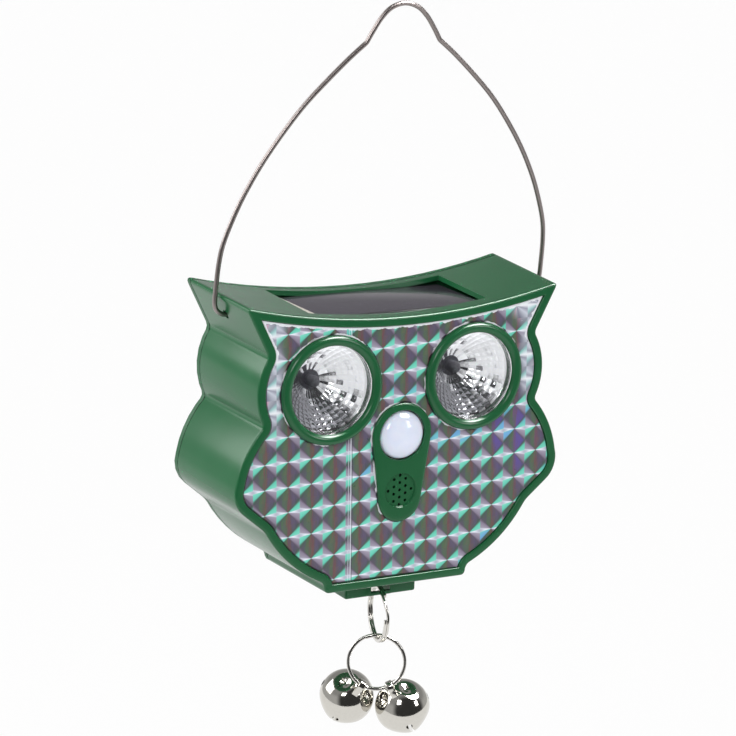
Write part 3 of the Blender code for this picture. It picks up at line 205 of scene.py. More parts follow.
def keep(piece, angle=None):
    bpy.context.view_layer.update()
    graph = bpy.context.evaluated_depsgraph_get()
    mesh = bpy.data.meshes.new_from_object(piece.evaluated_get(graph))
    piece.modifiers.clear()
    piece.data = mesh
    if angle:
        shade(mesh, angle)
    return piece


def joined(pieces):
    # several meshes in one object, the first one's
    work = bmesh.new()
    for piece in pieces:
        work.from_mesh(piece.data)
    work.to_mesh(pieces[0].data)
    work.free()
    for piece in pieces[1:]:
        bpy.data.objects.remove(piece)
    return pieces[0]


def dress(piece, look, node):
    # the piece takes its material, rides on the node's body and stands for the node
    piece.data.materials.clear()
    piece.data.materials.append(look)
    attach(piece, bodyOf[node])
    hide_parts(node)
    return piece


def bevelled(piece, width):
    # each edge that turns by more than 30 degrees gets two short slopes
    bevel = piece.modifiers.new("edges", "BEVEL")
    bevel.width, bevel.segments = width / 1000, 2
    bevel.limit_method, bevel.angle_limit = "ANGLE", math.radians(30)
    return piece


def softCopy(node, name, look, edge):
    # a merged copy of the solid, its flat faces made whole and its edges rounded
    mesh = frame["nodes"][node].data.copy()
    work = bmesh.new()
    work.from_mesh(mesh)
    bmesh.ops.remove_doubles(work, verts=work.verts, dist=1e-6)
    bmesh.ops.dissolve_limit(work, angle_limit=math.radians(0.5), verts=work.verts, edges=work.edges)
    work.to_mesh(mesh)
    work.free()
    piece = keep(bevelled(addObject(name, mesh), edge), 40)
    piece.modifiers.new("even faces", "WEIGHTED_NORMAL").keep_sharp = True
    return dress(keep(piece), look, node)


# Materials

def rgb(red, green, blue):
    # display values 0 to 255 as linear light: ((c + 0.055) / 1.055)^2.4
    parts = np.array((red, green, blue)) / 255
    linear = np.where(parts <= 0.04045, parts / 12.92, ((parts + 0.055) / 1.055)**2.4)
    return (*(float(part) for part in linear), 1.0)


def mathOf(operation, swapped=False):
    # a Python operator that adds a Math node
    def apply(self, *other):
        return self.look.math(operation, *((*other, self) if swapped else (self, *other)))

    return apply


class Tap:
    # one output socket of a material; arithmetic on it adds Math nodes
    def __init__(self, look, socket):
        self.look, self.socket = look, socket

    __add__ = __radd__ = mathOf("ADD")
    __mul__ = __rmul__ = mathOf("MULTIPLY")
    __sub__, __rsub__ = mathOf("SUBTRACT"), mathOf("SUBTRACT", swapped=True)
    __pow__, __rpow__ = mathOf("POWER"), mathOf("POWER", swapped=True)
    __truediv__, __abs__ = mathOf("DIVIDE"), mathOf("ABSOLUTE")
    __lt__, __gt__ = mathOf("LESS_THAN"), mathOf("GREATER_THAN")

    def centred(self):
        # from -0.5 to 0.5 about the nearest whole number
        return self - self.look.math("ROUND", self)

    def within(self, low, high):
        # 0 at low, 1 at high, eased
        settings = {"interpolation_type": "SMOOTHSTEP"}
        return self.look.node("ShaderNodeMapRange", settings, {0: self, 1: low, 2: high, 3: 0.0, 4: 1.0})


class Look:
    # the nodes of one material, or of the tree that is given
    def __init__(self, name, tree=None):
        if tree is None:
            self.material = bpy.data.materials.new(name)
            self.material.use_nodes = True
            tree = self.material.node_tree
        self.tree = tree
        tree.nodes.clear()

    def node(self, kind, settings=None, values=None, out=0):
        made = self.tree.nodes.new(kind)
        for key, value in (settings or {}).items():
            if key != "stops":
                setattr(made, key, value)
                continue
            for _ in value[2:]:
                made.color_ramp.elements.new(0.5)
            for stop, (position, colour) in zip(made.color_ramp.elements, value):
                stop.position, stop.color = position, colour
        for key, value in (values or {}).items():
            if isinstance(value, Tap):
                self.tree.links.new(value.socket, made.inputs[key])
            else:
                made.inputs[key].default_value = value
        return Tap(self, made.outputs[out])

    def math(self, operation, *values):
        return self.node("ShaderNodeMath", {"operation": operation}, dict(enumerate(values)))

    def dot(self, first, second):
        settings = {"operation": "DOT_PRODUCT"}
        return self.node("ShaderNodeVectorMath", settings, {0: first, 1: second}, out="Value")

    def place(self):
        # the point of the object in mm from the foot's middle: 1000 * world place + hang point
        spot = self.node("ShaderNodeTexCoord", out="Object")
        big = self.node("ShaderNodeVectorMath", {"operation": "SCALE"}, {0: spot, "Scale": 1000.0})
        return self.node("ShaderNodeVectorMath", {"operation": "ADD"}, {0: big, 1: tuple(hangPoint)})

    def parts(self, vector):
        split = self.node("ShaderNodeSeparateXYZ", values={0: vector})
        return [Tap(self, out) for out in split.socket.node.outputs]

    def vector(self, *parts):
        return self.node("ShaderNodeCombineXYZ", values=dict(enumerate(parts)))

    def rays(self, *kinds):
        # 1 for a ray of one of these kinds
        outputs = self.node("ShaderNodeLightPath").socket.node.outputs
        return sum(Tap(self, outputs["Is %s Ray" % kind]) for kind in kinds)

    def noise(self, scale, detail=2.0, vector=None, rough=0.5):
        values = {"Vector": vector or self.place(), "Scale": scale, "Detail": detail, "Roughness": rough}
        return self.node("ShaderNodeTexNoise", values=values)

    def mix(self, factor, first, second):
        return self.node("ShaderNodeMix", {"data_type": "RGBA"}, {0: factor, 6: first, 7: second}, out=2)

    def ramp(self, factor, stops):
        # colour stops at shares from 0 to 1, in display values
        stops = [(at, rgb(*tone)) for at, tone in stops]
        return self.node("ShaderNodeValToRGB", {"stops": stops}, {0: factor})

    def bump(self, height, distance):
        values = {"Height": height, "Distance": distance / 1000, "Strength": 1.0}
        return self.node("ShaderNodeBump", values=values)

    def close(self, **sockets):
        # the shader, with its sockets by name, and the output
        values = {key.replace("_", " "): value for key, value in sockets.items()}
        self.finishWith(self.node("ShaderNodeBsdfPrincipled", values=values))
        return self.material

    def finishWith(self, shader, kind="ShaderNodeOutputMaterial"):
        self.tree.links.new(shader.socket, self.tree.nodes.new(kind).inputs[0])


# Outline of the housing, seen from the front

housing = {
    "ear": (72.6, 122.2), "topMiddle": 113.2, "earCorner": 3.4, "corner": 2.0, "cornerParts": 9, "step": 1.6,
    # each corner down the right side, how far the edge to it bulges, and if the corner is rounded
    "corners": (
        ((62.0, 101.3), 0, True), ((63.4, 72.8), 3.9, True), ((75.0, 50.0), 1.9, False),
        ((70.9, 36.6), 2.2, False), ((61.4, 28.7), 0, True), ((33.8, 3.8), 3.0, True),
        ((33.0, -0.8), 0, True),
    ),
    "foot": -0.8, "depth": 50.3, "wall": 2.0, "rim": 3.6, "frontWall": 1.6, "cavityFront": 3.6,
    # how far each corner of the wall's section is rounded, from the film's pocket to the inside
    "rimCuts": (0.1, 0.15, 0.5, 1.2, 0.3, 0.3, 0.5, 0.1),
    # the posts' places and radii, and how deep their front, their bore's bottom and their end lie
    "posts": ((54.0, 104.0), (50.0, 27.0)), "postRadius": 3.6, "screwRadius": 1.4,
    "postDepths": (2.6, 40.0, 40.1),
    "bailHole": {"radius": 1.8, "y": 26.5, "z": 113.75, "from": 57.0, "to": 80.0},
    "gasket": {"width": 1.2, "back": 1.2, "round": 0.25},
}


def arc(start, end, bulge, count):
    # circle points from start to end, swung out by the bulge: centre + R (sin a along + cos a out)
    start, end = np.array(start, float), np.array(end, float)
    half = np.linalg.norm(end - start) / 2
    along = (end - start) / (2 * half)
    out = np.array((-along[1], along[0]))
    radius = (half**2 + bulge**2) / (2 * bulge)
    centre = (start + end) / 2 + out * (bulge - radius)
    a = np.linspace(-1, 1, count + 1)[1:, None] * math.asin(half / radius)
    return centre + radius * (np.sin(a) * along + np.cos(a) * out)


def topZ(x):
    # height of the hollow top edge, an arc through both ears and the top's middle
    dip = housing["ear"][1] - housing["topMiddle"]
    radius = (housing["ear"][0]**2 + dip**2) / (2 * dip)
    return housing["topMiddle"] + radius - np.sqrt(radius**2 - np.asarray(x, float)**2)


def housingOutline():
    # the right half from the top's middle round to the foot's, then the same mirrored
    x = np.linspace(0, housing["ear"][0], 41)
    half = stacked(x, topZ(x))
    corners = [len(half) - 1]
    for corner, bulge, rounded in housing["corners"]:
        count = max(2, int(np.linalg.norm(half[-1] - corner) / housing["step"]))
        half = np.vstack((half, arc(half[-1], corner, bulge, count) if bulge else corner))
        if rounded:
            corners.append(len(half) - 1)
    half = np.vstack((half, (0.0, housing["foot"])))
    # the points within the rounding's reach of a corner give way to a bend
    t = np.linspace(0, 1, housing["cornerParts"])[:, None]
    reaches = np.array([housing["earCorner"]] + [housing["corner"]] * (len(corners) - 1))
    away = (np.linalg.norm(half[:, None] - half[corners][None], axis=-1) > reaches * 1.1).all(1)
    pieces = []
    last = 0
    for number, reach in zip(corners, reaches):
        corner = half[number]
        sides = half[[number - 1, number + 1]] - corner
        before, after = corner + sides * (reach / np.linalg.norm(sides, axis=1))[:, None]
        pieces += [half[last:number][away[last:number]], bend(before, corner, after, t)]
        last = number + 1
    half = np.vstack(pieces + [half[last:][away[last:]]])
    return np.vstack((half, half[-2:0:-1] * (-1, 1)))


def nearest(points, ring):
    # distance from each point to a closed line: |p - (a + (b - a) * clipped share)|, the least over its edges
    ahead = np.roll(ring, -1, axis=0) - ring
    share = ((points[:, None] - ring) * ahead).sum(-1) / np.maximum((ahead**2).sum(-1), 1e-12)
    spots = ring + ahead * np.clip(share, 0, 1)[..., None]
    return np.linalg.norm(spots - points[:, None], axis=-1).min(1)


def inset(outline, distance):
    # each point moves inwards by distance along its mitre; one that comes too near the outline takes the
    # place where the sides next to its run meet, so that the number of points stays
    ahead = np.roll(outline, -1, axis=0) - outline
    ahead = ahead / np.linalg.norm(ahead, axis=1)[:, None]
    inward = stacked(ahead[:, 1], -ahead[:, 0])
    before = np.roll(inward, 1, axis=0)
    mitre = (inward + before) / (1 + (inward * before).sum(1))[:, None]
    moved = outline + distance * mitre
    if abs(distance) < 1e-6:
        return moved
    kept = np.flatnonzero(nearest(moved, outline) > 0.9995 * abs(distance))
    count = len(outline)
    for last, number in zip(np.roll(kept, 1), kept):
        missing = (number - last) % count
        if missing < 2:
            continue
        way, other = ahead[last], ahead[(number - 1) % count]
        span = moved[number] - moved[last]
        turn = way[0] * other[1] - way[1] * other[0]
        corner = moved[last] + way * (span[0] * other[1] - span[1] * other[0]) / turn
        moved[(last + 1 + np.arange(missing - 1)) % count] = corner
    return moved


outline = housingOutline()
print("outline:", len(outline), "points")

# Fixed places of the pieces on the front
eye = {
    "x": 33.2, "z": 85.3, "bezelRadius": 22.8, "crestRadius": 20.8, "crestFoot": 0.3, "front": -1.7,
    "back": 0.7, "lipRadius": 18.4, "lipFall": 2.0, "lipBack": 0.4, "barrelRadius": 20.9, "barrelBack": 6.3,
    "lensRadius": 19.3, "lensWall": 1.0, "lensBack": 2.2, "skirtBack": 5.2,
    "mouthRadius": 17.6, "neckRadius": 4.2, "bowlFront": 5.5, "bowlDepth": 14.0, "bowlWall": 0.8,
    "facetColumns": 36, "facetRows": 7, "facetLift": 0.32,
    "ledRadius": 2.5, "ledTip": 13.8, "boardRadius": 8.0, "boardFront": 19.8, "boardBack": 21.4,
}
eyeSides = (("left", -eye["x"]), ("right", eye["x"]))
nose = {
    "topRadius": 13.6, "bottomRadius": 9.7, "bottomZ": 36.4, "front": -0.7, "back": 0.7,
    "flat": 2.5, "edgeCuts": (0.1, 1.0, 0.2),
    "domeZ": 63.4, "domeRadius": 10.2, "domeHeight": 5.8, "domeWall": 1.0, "domeBase": 1.8, "domeBack": 4.0,
    "grilleZ": 40.0, "grilleRadius": 7.1,
    "holeRadius": 0.65, "rowPitch": 3.1, "columnPitch": 2.7, "columns": (1, 4, 5, 4, 1),
    # (past the opening's radius, behind the plate's front) of the dome's chamfer and of the grille's dish
    "chamfer": ((1.35, -1), (0.35, 0), (0, 0.5), (0, 3.7)),
    "dish": ((0.3, -1), (0.3, -0.05), (0, 0.3), (-0.25, 1.0)),
}
panel = {
    "width": 82.0, "depth": 38.4, "front": 7.3, "top": 114.0, "thickness": 2.2, "floor": 110.4,
    "corner": 0.8, "bevel": 0.3, "fingerPitch": 1.9, "strip": (4.2, 6.4), "border": 1.2,
    "trayFront": 3.0, "trayTop": 113.0, "recessTop": 125.0, "recessCorner": 0.6,
}

# Surfaces of this object

def shades(colour, spread):
    # the colour made a share darker and a share lighter
    return [rgb(*(min(255, part * share) for part in colour)) for share in (1 - spread, 1 + spread)]


def mouldedGreen(name, tone, roughness=0.22):
    # moulded plastic: an even colour with faint clouds, a fine grain, and gloss that varies a little
    look = Look(name)
    clouds = look.noise(0.05, 3.0)
    return look.close(Base_Color=look.mix(clouds, *shades(tone, 0.06)), IOR=1.42,
                      Roughness=clouds * 0.12 + (roughness - 0.06), Normal=look.bump(look.noise(4.0), 0.008))


def plainLook(name, colour, roughness, metallic=0.0):
    # a colour with a little variation and a fine grain
    look = Look(name)
    spots = look.noise(0.6, 3.0)
    return look.close(Base_Color=look.mix(spots, *shades(colour, 0.08)), Metallic=metallic,
                      Roughness=spots * 0.1 + (roughness - 0.05), Normal=look.bump(look.noise(4.8), 0.01))


filmPattern = {
    "pitch": 10.55, "lean": 1.8, "star": (1.25, 79.77), "seam": -2.46, "seamShift": 0.09,
    # colours by the direction about the nearest star, from 0 to half a turn
    "streaks": (
        (0.0, (236, 238, 247)), (0.026, (222, 228, 240)), (0.055, (122, 214, 194)), (0.185, (96, 200, 176)),
        (0.222, (84, 112, 104)), (0.26, (62, 86, 70)), (0.35, (66, 86, 66)), (0.40, (104, 78, 72)),
        (0.455, (100, 84, 88)), (0.50, (84, 72, 88)), (0.62, (86, 74, 92)), (0.67, (76, 84, 82)),
        (0.74, (92, 82, 100)), (0.79, (136, 126, 146)), (0.92, (160, 154, 172)), (0.958, (226, 226, 240)),
        (1.0, (236, 238, 247)),
    ),
    # colours from side to side of a dark diamond: purple grey, green, a red brown streak, then violet grey
    "diamond": (
        (0.0, (92, 80, 104)), (0.20, (88, 88, 100)), (0.34, (82, 112, 84)), (0.46, (86, 104, 78)),
        (0.53, (120, 78, 76)), (0.60, (96, 86, 94)), (0.76, (98, 84, 120)), (0.88, (84, 78, 98)),
        (1.0, (96, 88, 104)),
    ),
    # colours by direction where the foil turns silver
    "silver": (
        (0.0, (238, 240, 246)), (0.06, (214, 226, 232)), (0.16, (150, 196, 196)), (0.24, (142, 146, 160)),
        (0.36, (170, 172, 184)), (0.42, (206, 160, 186)), (0.47, (182, 184, 196)), (0.58, (128, 132, 150)),
        (0.70, (166, 170, 184)), (0.80, (198, 202, 214)), (0.90, (150, 152, 170)), (1.0, (238, 240, 246)),
    ),
    # middle, reach and share of each violet and each silver place
    "violetAt": (((55, 56), (10, 16), 1.0), ((44, 62), (7, 6), 0.8)),
    "silverAt": (((-61, 88), (8, 22), 1.0), ((62, 90), (8, 20), 1.0), ((60, 116), (14, 8), 1.0),
                 ((-60, 114), (10, 5), 0.5)),
}


def filmLook():
    # colour = ramp(angle about the nearest star / half a turn), silver or violet in some places
    look = Look("rainbow film")
    spec = filmPattern
    x, _, z = look.parts(look.place())
    wobble = look.noise(0.12) - 0.5
    lean = math.radians(spec["lean"])
    dx, dz = x - spec["star"][0], z - spec["star"][1]
    u = (dx * math.cos(lean) + dz * math.sin(lean)) / spec["pitch"]
    v = (dz * math.cos(lean) - dx * math.sin(lean)) / spec["pitch"] + wobble * 0.05
    u = u + (u < spec["seam"]) * spec["seamShift"] + wobble * 0.03
    share = look.math("FRACT", look.math("ARCTAN2", v.centred(), u.centred()) / math.pi + 1.0)
    # the dark diamonds, with upright threads
    thread = look.noise(1.0, 3.0, look.vector(x * 0.9, 0.0, z * 0.12), 0.6)
    across = u.centred() + 0.5 + (thread - 0.5) * 0.55
    dark = share.within(0.23, 0.29) * (1 - share.within(0.69, 0.76))
    main = look.mix(dark * 0.7, look.ramp(share, spec["streaks"]), look.ramp(across, spec["diamond"]))
    # the light streak fades between two stars
    streak = (1 - share.within(0.02, 0.06)) + share.within(0.93, 0.98)
    main = look.mix(streak * abs(u.centred()).within(0.22, 0.5) * 0.75, main, rgb(158, 162, 182))
    # the teal turns blue in a few cells, and the dark diamonds violet in one region
    teal = share.within(0.045, 0.07) * (1 - share.within(0.20, 0.24))
    main = look.mix(teal * look.noise(0.042, 1.0).within(0.58, 0.70) * 0.75, main, rgb(112, 158, 226))
    violet = hills(x, z, spec["violetAt"]).within(0.1, 0.8) * across.within(0.35, 0.7)
    main = look.mix(dark * violet * 0.75, main, rgb(96, 78, 158))
    silver = hills(x, z, spec["silverAt"]).within(0.25, 0.75)
    colour = look.mix(silver, main, look.ramp(share, spec["silver"]))
    # the seam: a light line beside a dark one
    offset = u - (spec["seam"] + spec["seamShift"])
    colour = look.mix((abs(offset) < 0.026) * 0.6, colour, rgb(222, 226, 236))
    colour = look.mix((abs(offset - 0.05) < 0.02) * 0.6, colour, rgb(62, 60, 72))
    # the cut edges: a ragged line round the rings and the nose plate, white in places where the cut edge shows,
    # and dark in others as a painted shadow line
    rag = look.noise(0.42)
    cutEdgeAndShadowTone = look.mix(look.noise(0.10, 1.0).within(0.44, 0.54), rgb(26, 26, 32), rgb(238, 240, 246))
    inner = look.math("MINIMUM", eyeDistance(x, z), noseDistance(x, z))
    colour = look.mix((inner < rag * 1.5 - 0.28) * 0.9, colour, cutEdgeAndShadowTone)
    # along the rim the cut edge is a white ragged line high up; lower down, left of x 20, a thin dark line is a
    # painted shadow of the rim on the film
    outer = look.node("ShaderNodeAttribute", {"attribute_name": "edge"}, out="Fac")
    high = z.within(92, 102)
    colour = look.mix((outer < rag * 2.4 - 0.3) * high * 0.85, colour, rgb(240, 241, 247))
    colour = look.mix((outer < 0.45) * (1 - high) * (x < 20) * 0.8, colour, rgb(22, 24, 26))
    return look.close(Base_Color=colour, Roughness=look.noise(0.5) * 0.14 + 0.24, Metallic=0.0, IOR=1.45,
                      Normal=look.bump(look.noise(0.06), 0.25))


def eyeDistance(x, z):
    # sqrt((|x| - eye's x)^2 + (z - eye's z)^2) less the ring's radius
    dx, dz = abs(x) - eye["x"], z - eye["z"]
    return (dx * dx + dz * dz) ** 0.5 - eye["bezelRadius"]


def noseDistance(x, z):
    # the nose plate is two circles and their outer tangents; the place along its side tells which is nearest
    rise = nose["domeZ"] - nose["bottomZ"]
    lean = (nose["topRadius"] - nose["bottomRadius"]) / rise
    level = math.sqrt(1 - lean**2)
    wide, low = abs(x), z - nose["bottomZ"]
    along = wide * lean + low * level
    high = low - rise
    top, bottom = along > level * rise, along < 0.0
    upper = (wide * wide + high * high) ** 0.5 - nose["topRadius"]
    lower = (wide * wide + low * low) ** 0.5 - nose["bottomRadius"]
    side = wide * level - low * lean - nose["bottomRadius"]
    return upper * top + lower * bottom + side * (1 - top - bottom)


def hills(x, z, places):
    # the sum of share * e^(-((x - x0) / sx)^2 - ((z - z0) / sz)^2)
    total = 0.0
    for (x0, z0), (sx, sz), share in places:
        a, b = (x - x0) / sx, (z - z0) / sz
        total = math.e ** ((a * a + b * b) * -1.0) * share + total
    return total


def clearLook():
    look = Look("clear plastic")
    return look.close(Base_Color=(0.97, 0.98, 0.98, 1.0), Roughness=look.noise(0.35, 3.0) * 0.03,
                      Transmission_Weight=1.0, IOR=1.46)


def chromeLook():
    # plated plastic with painted reflection: each facet has a painted tone of its own, white towards the upper
    # right and dark at the lower left, and the white facets shine with a painted glow
    look = Look("plated bowl")
    x, _, z = look.parts(look.place())
    dx, dz = x - (x > 0) * (2 * eye["x"]) + eye["x"], z - eye["z"]
    around = look.math("ARCTAN2", dx, dz) * (eye["facetColumns"] / (2 * math.pi))
    row = (1 - (dx * dx + dz * dz) / eye["mouthRadius"]**2) * (eye["facetRows"] * 1.05)
    cell = look.vector(look.math("FLOOR", around), look.math("FLOOR", row))
    chance = look.node("ShaderNodeTexWhiteNoise", {"noise_dimensions": "3D"}, {"Vector": cell})
    side = dx * 0.046 + dz * 0.038 + (chance - 0.5) * 1.1 + (look.noise(0.5, 3.0) - 0.5) * 0.5
    # bright is the share of painted reflection; where it is high the facet is less metallic and glows
    bright = side.within(-0.15, 0.45)
    tone = look.mix(bright, rgb(150, 150, 154), rgb(250, 250, 252))
    paintedGlow = look.mix(bright, rgb(58, 58, 60), rgb(244, 244, 248))
    return look.close(Base_Color=tone, Roughness=chance * 0.10 + 0.06, Metallic=1 - bright * 0.6,
                      Emission_Color=paintedGlow, Emission_Strength=0.62, Normal=look.bump(look.noise(0.7), 0.10))


def nickelLook(name, tone=(0.68, 0.66, 0.61), roughness=0.05, grain=0.006):
    # bright metal with faint darker clouds
    look = Look(name)
    spots = look.noise(0.7, 4.0)
    low = (*(part * 0.90 for part in tone), 1.0)
    return look.close(Base_Color=look.mix(spots, low, (*tone, 1.0)), Roughness=spots * 0.08 + roughness,
                      Metallic=1.0, Normal=look.bump(look.noise(2.2, 3.0), grain))


def milkyLook():
    look = Look("milky dome")
    spots = look.noise(0.3)
    colour = look.mix(spots, rgb(214, 222, 242), rgb(226, 230, 243))
    return look.close(Base_Color=colour, Roughness=spots * 0.05 + 0.06, Subsurface_Weight=0.15,
                      Subsurface_Scale=0.002, IOR=1.5, Normal=look.bump(look.noise(0.4, 1.0), 0.04))


def lightLook():
    # the light's clear body, partly see-through
    look = Look("clear light")
    spots = look.noise(0.9)
    colour = look.mix(spots, rgb(120, 120, 128), rgb(186, 186, 196))
    return look.close(Base_Color=colour, Roughness=spots * 0.06 + 0.05, Transmission_Weight=0.4, IOR=1.5)


def panelLook():
    # dark cells under resin: lengthwise finger lines, a cream bus strip at the left end, dark borders
    look = Look("solar cells")
    s = panel
    x, y, _ = look.parts(look.place())
    threads = look.noise(1.0, 3.0, look.vector(x * 0.02, y * 2.4, 0.0), 0.65)
    colour = look.mix(threads, rgb(46, 42, 50), rgb(80, 76, 86))
    finger = abs((y / s["fingerPitch"]).centred()) < 0.03
    colour = look.mix(finger * 0.35, colour, rgb(112, 108, 118))
    start, end = (s["width"] / -2 + along for along in s["strip"])
    colour = look.mix((x < start + 0.2) * 0.9, colour, rgb(74, 56, 46))
    colour = look.mix((x > start) * (x < end), colour, rgb(206, 200, 190))
    border = (y < s["front"] + s["border"]) + (y > s["front"] + s["depth"] - s["border"])
    colour = look.mix(border * 0.7, colour, rgb(30, 28, 32))
    return look.close(Base_Color=colour, Roughness=threads * 0.10 + 0.16, IOR=1.5, Coat_Weight=0.3,
                      Normal=look.bump(threads, 0.01))


print("materials")
greenPlastic = mouldedGreen("moulded green", (27, 88, 52))
coverPlastic = mouldedGreen("cover green", (26, 84, 50), 0.38)
filmSheet = filmLook()
clearPlastic = clearLook()
platedBowl = chromeLook()
brightNickel = nickelLook("bright nickel")
ringNickel = nickelLook("ring nickel", (0.74, 0.72, 0.68), 0.12, 0.01)
steelWire = nickelLook("steel wire", (0.34, 0.30, 0.29), 0.30, 0.0005)
milkyPlastic = milkyLook()
solarCells = panelLook()
clearLight = lightLook()
greyRubber = plainLook("grey rubber", (28, 32, 30), 0.7)
blackPlastic = plainLook("black plastic", (26, 26, 28), 0.45)
boardGreen = plainLook("circuit board", (18, 92, 48), 0.4)
cellSleeve = plainLook("battery sleeve", (52, 96, 150), 0.3, 0.4)
redLead = plainLook("red insulation", (170, 36, 34), 0.4)


# Housing

def frontOpenings():
    # tools for both eyes' barrels, the dome and the sound
    tools = [drum(x, eye["z"], eye["barrelRadius"] + gap) for _, x in eyeSides]
    tools.append(drum(0, nose["domeZ"], nose["domeRadius"] + gap))
    tools.append(drum(0, nose["grilleZ"], nose["grilleRadius"]))
    return tools


def makeHousing():
    # a box with a rounded front rim: section from the film's pocket over the rim, down the wall and up inside
    spec = housing
    rim, wall, back = spec["rim"], spec["wall"], spec["depth"]
    pocket, inside = spec["frontWall"], spec["cavityFront"]
    section = ((rim + wall, pocket), (rim, pocket), (rim, 0.0), (0.0, 0.0), (0.0, back), (wall, back),
               (wall, inside), (2 * wall, inside))
    section = softened(section, spec["rimCuts"], spec["cornerParts"], closed=False)
    shell = loft("green_housing_shell", outline, section)
    # the tray under the solar panel, then every opening
    s = panel
    half, low, trayBack = s["width"] / 2 + gap, s["floor"], s["front"] + s["depth"] + gap
    tray = boxTool((-half - wall, s["trayFront"], low - wall), (half + wall, trayBack + wall, s["trayTop"]))
    combine(shell, [tray], "UNION")
    recess = boxTool((-half, s["front"] - gap, low), (half, trayBack, s["recessTop"]), s["recessCorner"])
    combine(shell, frontOpenings() + [recess])
    hole = spec["bailHole"]
    ears = [turnedToX(drum(0, 0, hole["radius"], hole["from"], hole["to"], 32), side, hole["y"], hole["z"])
            for side in (-1, 1)]
    combine(shell, ears)
    # the screw posts
    front, bottom, end = spec["postDepths"]
    bore, radius = spec["screwRadius"] + gap, spec["postRadius"]
    post = ((bore, end), (radius, end), (radius, front), (0, front), (0, bottom), (bore, bottom))
    posts = [revolve("post", post, side * x, z, 32) for side in (-1, 1) for x, z in spec["posts"]]
    return dress(joined([shell] + posts), greenPlastic, "front_housing")


def spotsOf(piece):
    # the mesh's points in mm from the foot's middle
    spots = np.empty(len(piece.data.vertices) * 3)
    piece.data.vertices.foreach_get("co", spots)
    return spots.reshape(-1, 3) * 1000 + hangPoint


def turnedToX(tool, side, y, z):
    # a tool made along +y in the housing's mm now lies along the side's x, at the depth y and height z
    spots = spotsOf(tool)
    turned = stacked(spots[:, 1] * side, y + spots[:, 0] * side, z + spots[:, 2])
    tool.data.vertices.foreach_set("co", place(turned).ravel())
    work = bmesh.new()
    work.from_mesh(tool.data)
    bmesh.ops.recalc_face_normals(work, faces=work.faces)
    work.to_mesh(tool.data)
    work.free()
    return tool


filmShape = {"front": 1.0, "back": 1.3, "round": 0.06, "rings": (0.4, 0.9, 1.6)}


def makeFilm():
    # a thin plate in the rim with the front's openings; edge holds the distance from its own outline
    s = filmShape
    rim = housing["rim"] + gap
    section = [(rim, s["back"]), (rim, s["front"] + s["round"])]
    section += [(rim + inward, s["front"]) for inward in (s["round"], *s["rings"])]
    film = combine(loft("film_sheet", outline, section, 30), frontOpenings(), angle=30)
    edge = film.data.attributes.new("edge", "FLOAT", "POINT")
    edge.data.foreach_set("value", nearest(spotsOf(film)[:, ::2], inset(outline, rim)))
    return dress(film, filmSheet, "reflective_film")


def makeGasket():
    # a flat ring in the middle of the wall's back edge
    wall, s = housing["wall"], housing["gasket"]
    outer, inner = (wall - s["width"]) / 2, (wall + s["width"]) / 2
    front, back = housing["depth"] + gap, housing["depth"] + s["back"]
    section = softened(((outer, front), (outer, back), (inner, back), (inner, front)), s["round"], 4)
    return dress(loft("seam_gasket", outline, section, wrap=True), greyRubber, "housing_gasket")


print("housing")
makeHousing()
makeFilm()
makeGasket()


# Eyes

def makeBezel(side, x):
    # a ring with a round crest: outer quarter from the film up to the crest, inner quarter down to the lip
    s = eye
    crest, lip, foot, bore = s["crestRadius"], s["lipRadius"], s["crestFoot"], s["lensRadius"] + gap
    a = np.linspace(0, math.pi / 2, 10)
    outer = stacked(crest + (s["bezelRadius"] - crest) * np.cos(a), foot + (s["front"] - foot) * np.sin(a))
    inner = stacked(crest - (crest - lip) * np.sin(a), s["front"] + s["lipFall"] * (1 - np.cos(a)))[1:]
    tail = ((lip, s["lipBack"]), (bore, s["lipBack"]), (bore, s["barrelBack"]),
            (s["barrelRadius"], s["barrelBack"]), (s["barrelRadius"], s["back"]), (s["bezelRadius"], s["back"]))
    bezel = revolve("bezel_ring_" + side, np.vstack((outer, inner, tail)), x, s["z"], 128, 40)
    return dress(bezel, greenPlastic, "eye_bezel_" + side)


def makeLens(side, x):
    # a flat window with a skirt behind its edge
    s = eye
    radius, hollow = s["lensRadius"], s["lensRadius"] - s["lensWall"]
    skirt = softened(((radius, s["back"]), (radius, s["skirtBack"]), (hollow, s["skirtBack"]),
                      (hollow, s["lensBack"])), 0.35)
    profile = np.vstack(((0, s["back"]), skirt, (0, s["lensBack"])))
    window = revolve("clear_window_" + side, profile, x, s["z"], 128, 40)
    return dress(window, clearPlastic, "eye_lens_" + side)


def bowlPoint(share):
    # (radius, depth) from mouth (0) to neck (1): radius^2 falls evenly with depth
    s = eye
    radius = np.sqrt(s["mouthRadius"]**2 + (s["neckRadius"]**2 - s["mouthRadius"]**2) * share)
    return radius, s["bowlFront"] + s["bowlDepth"] * share


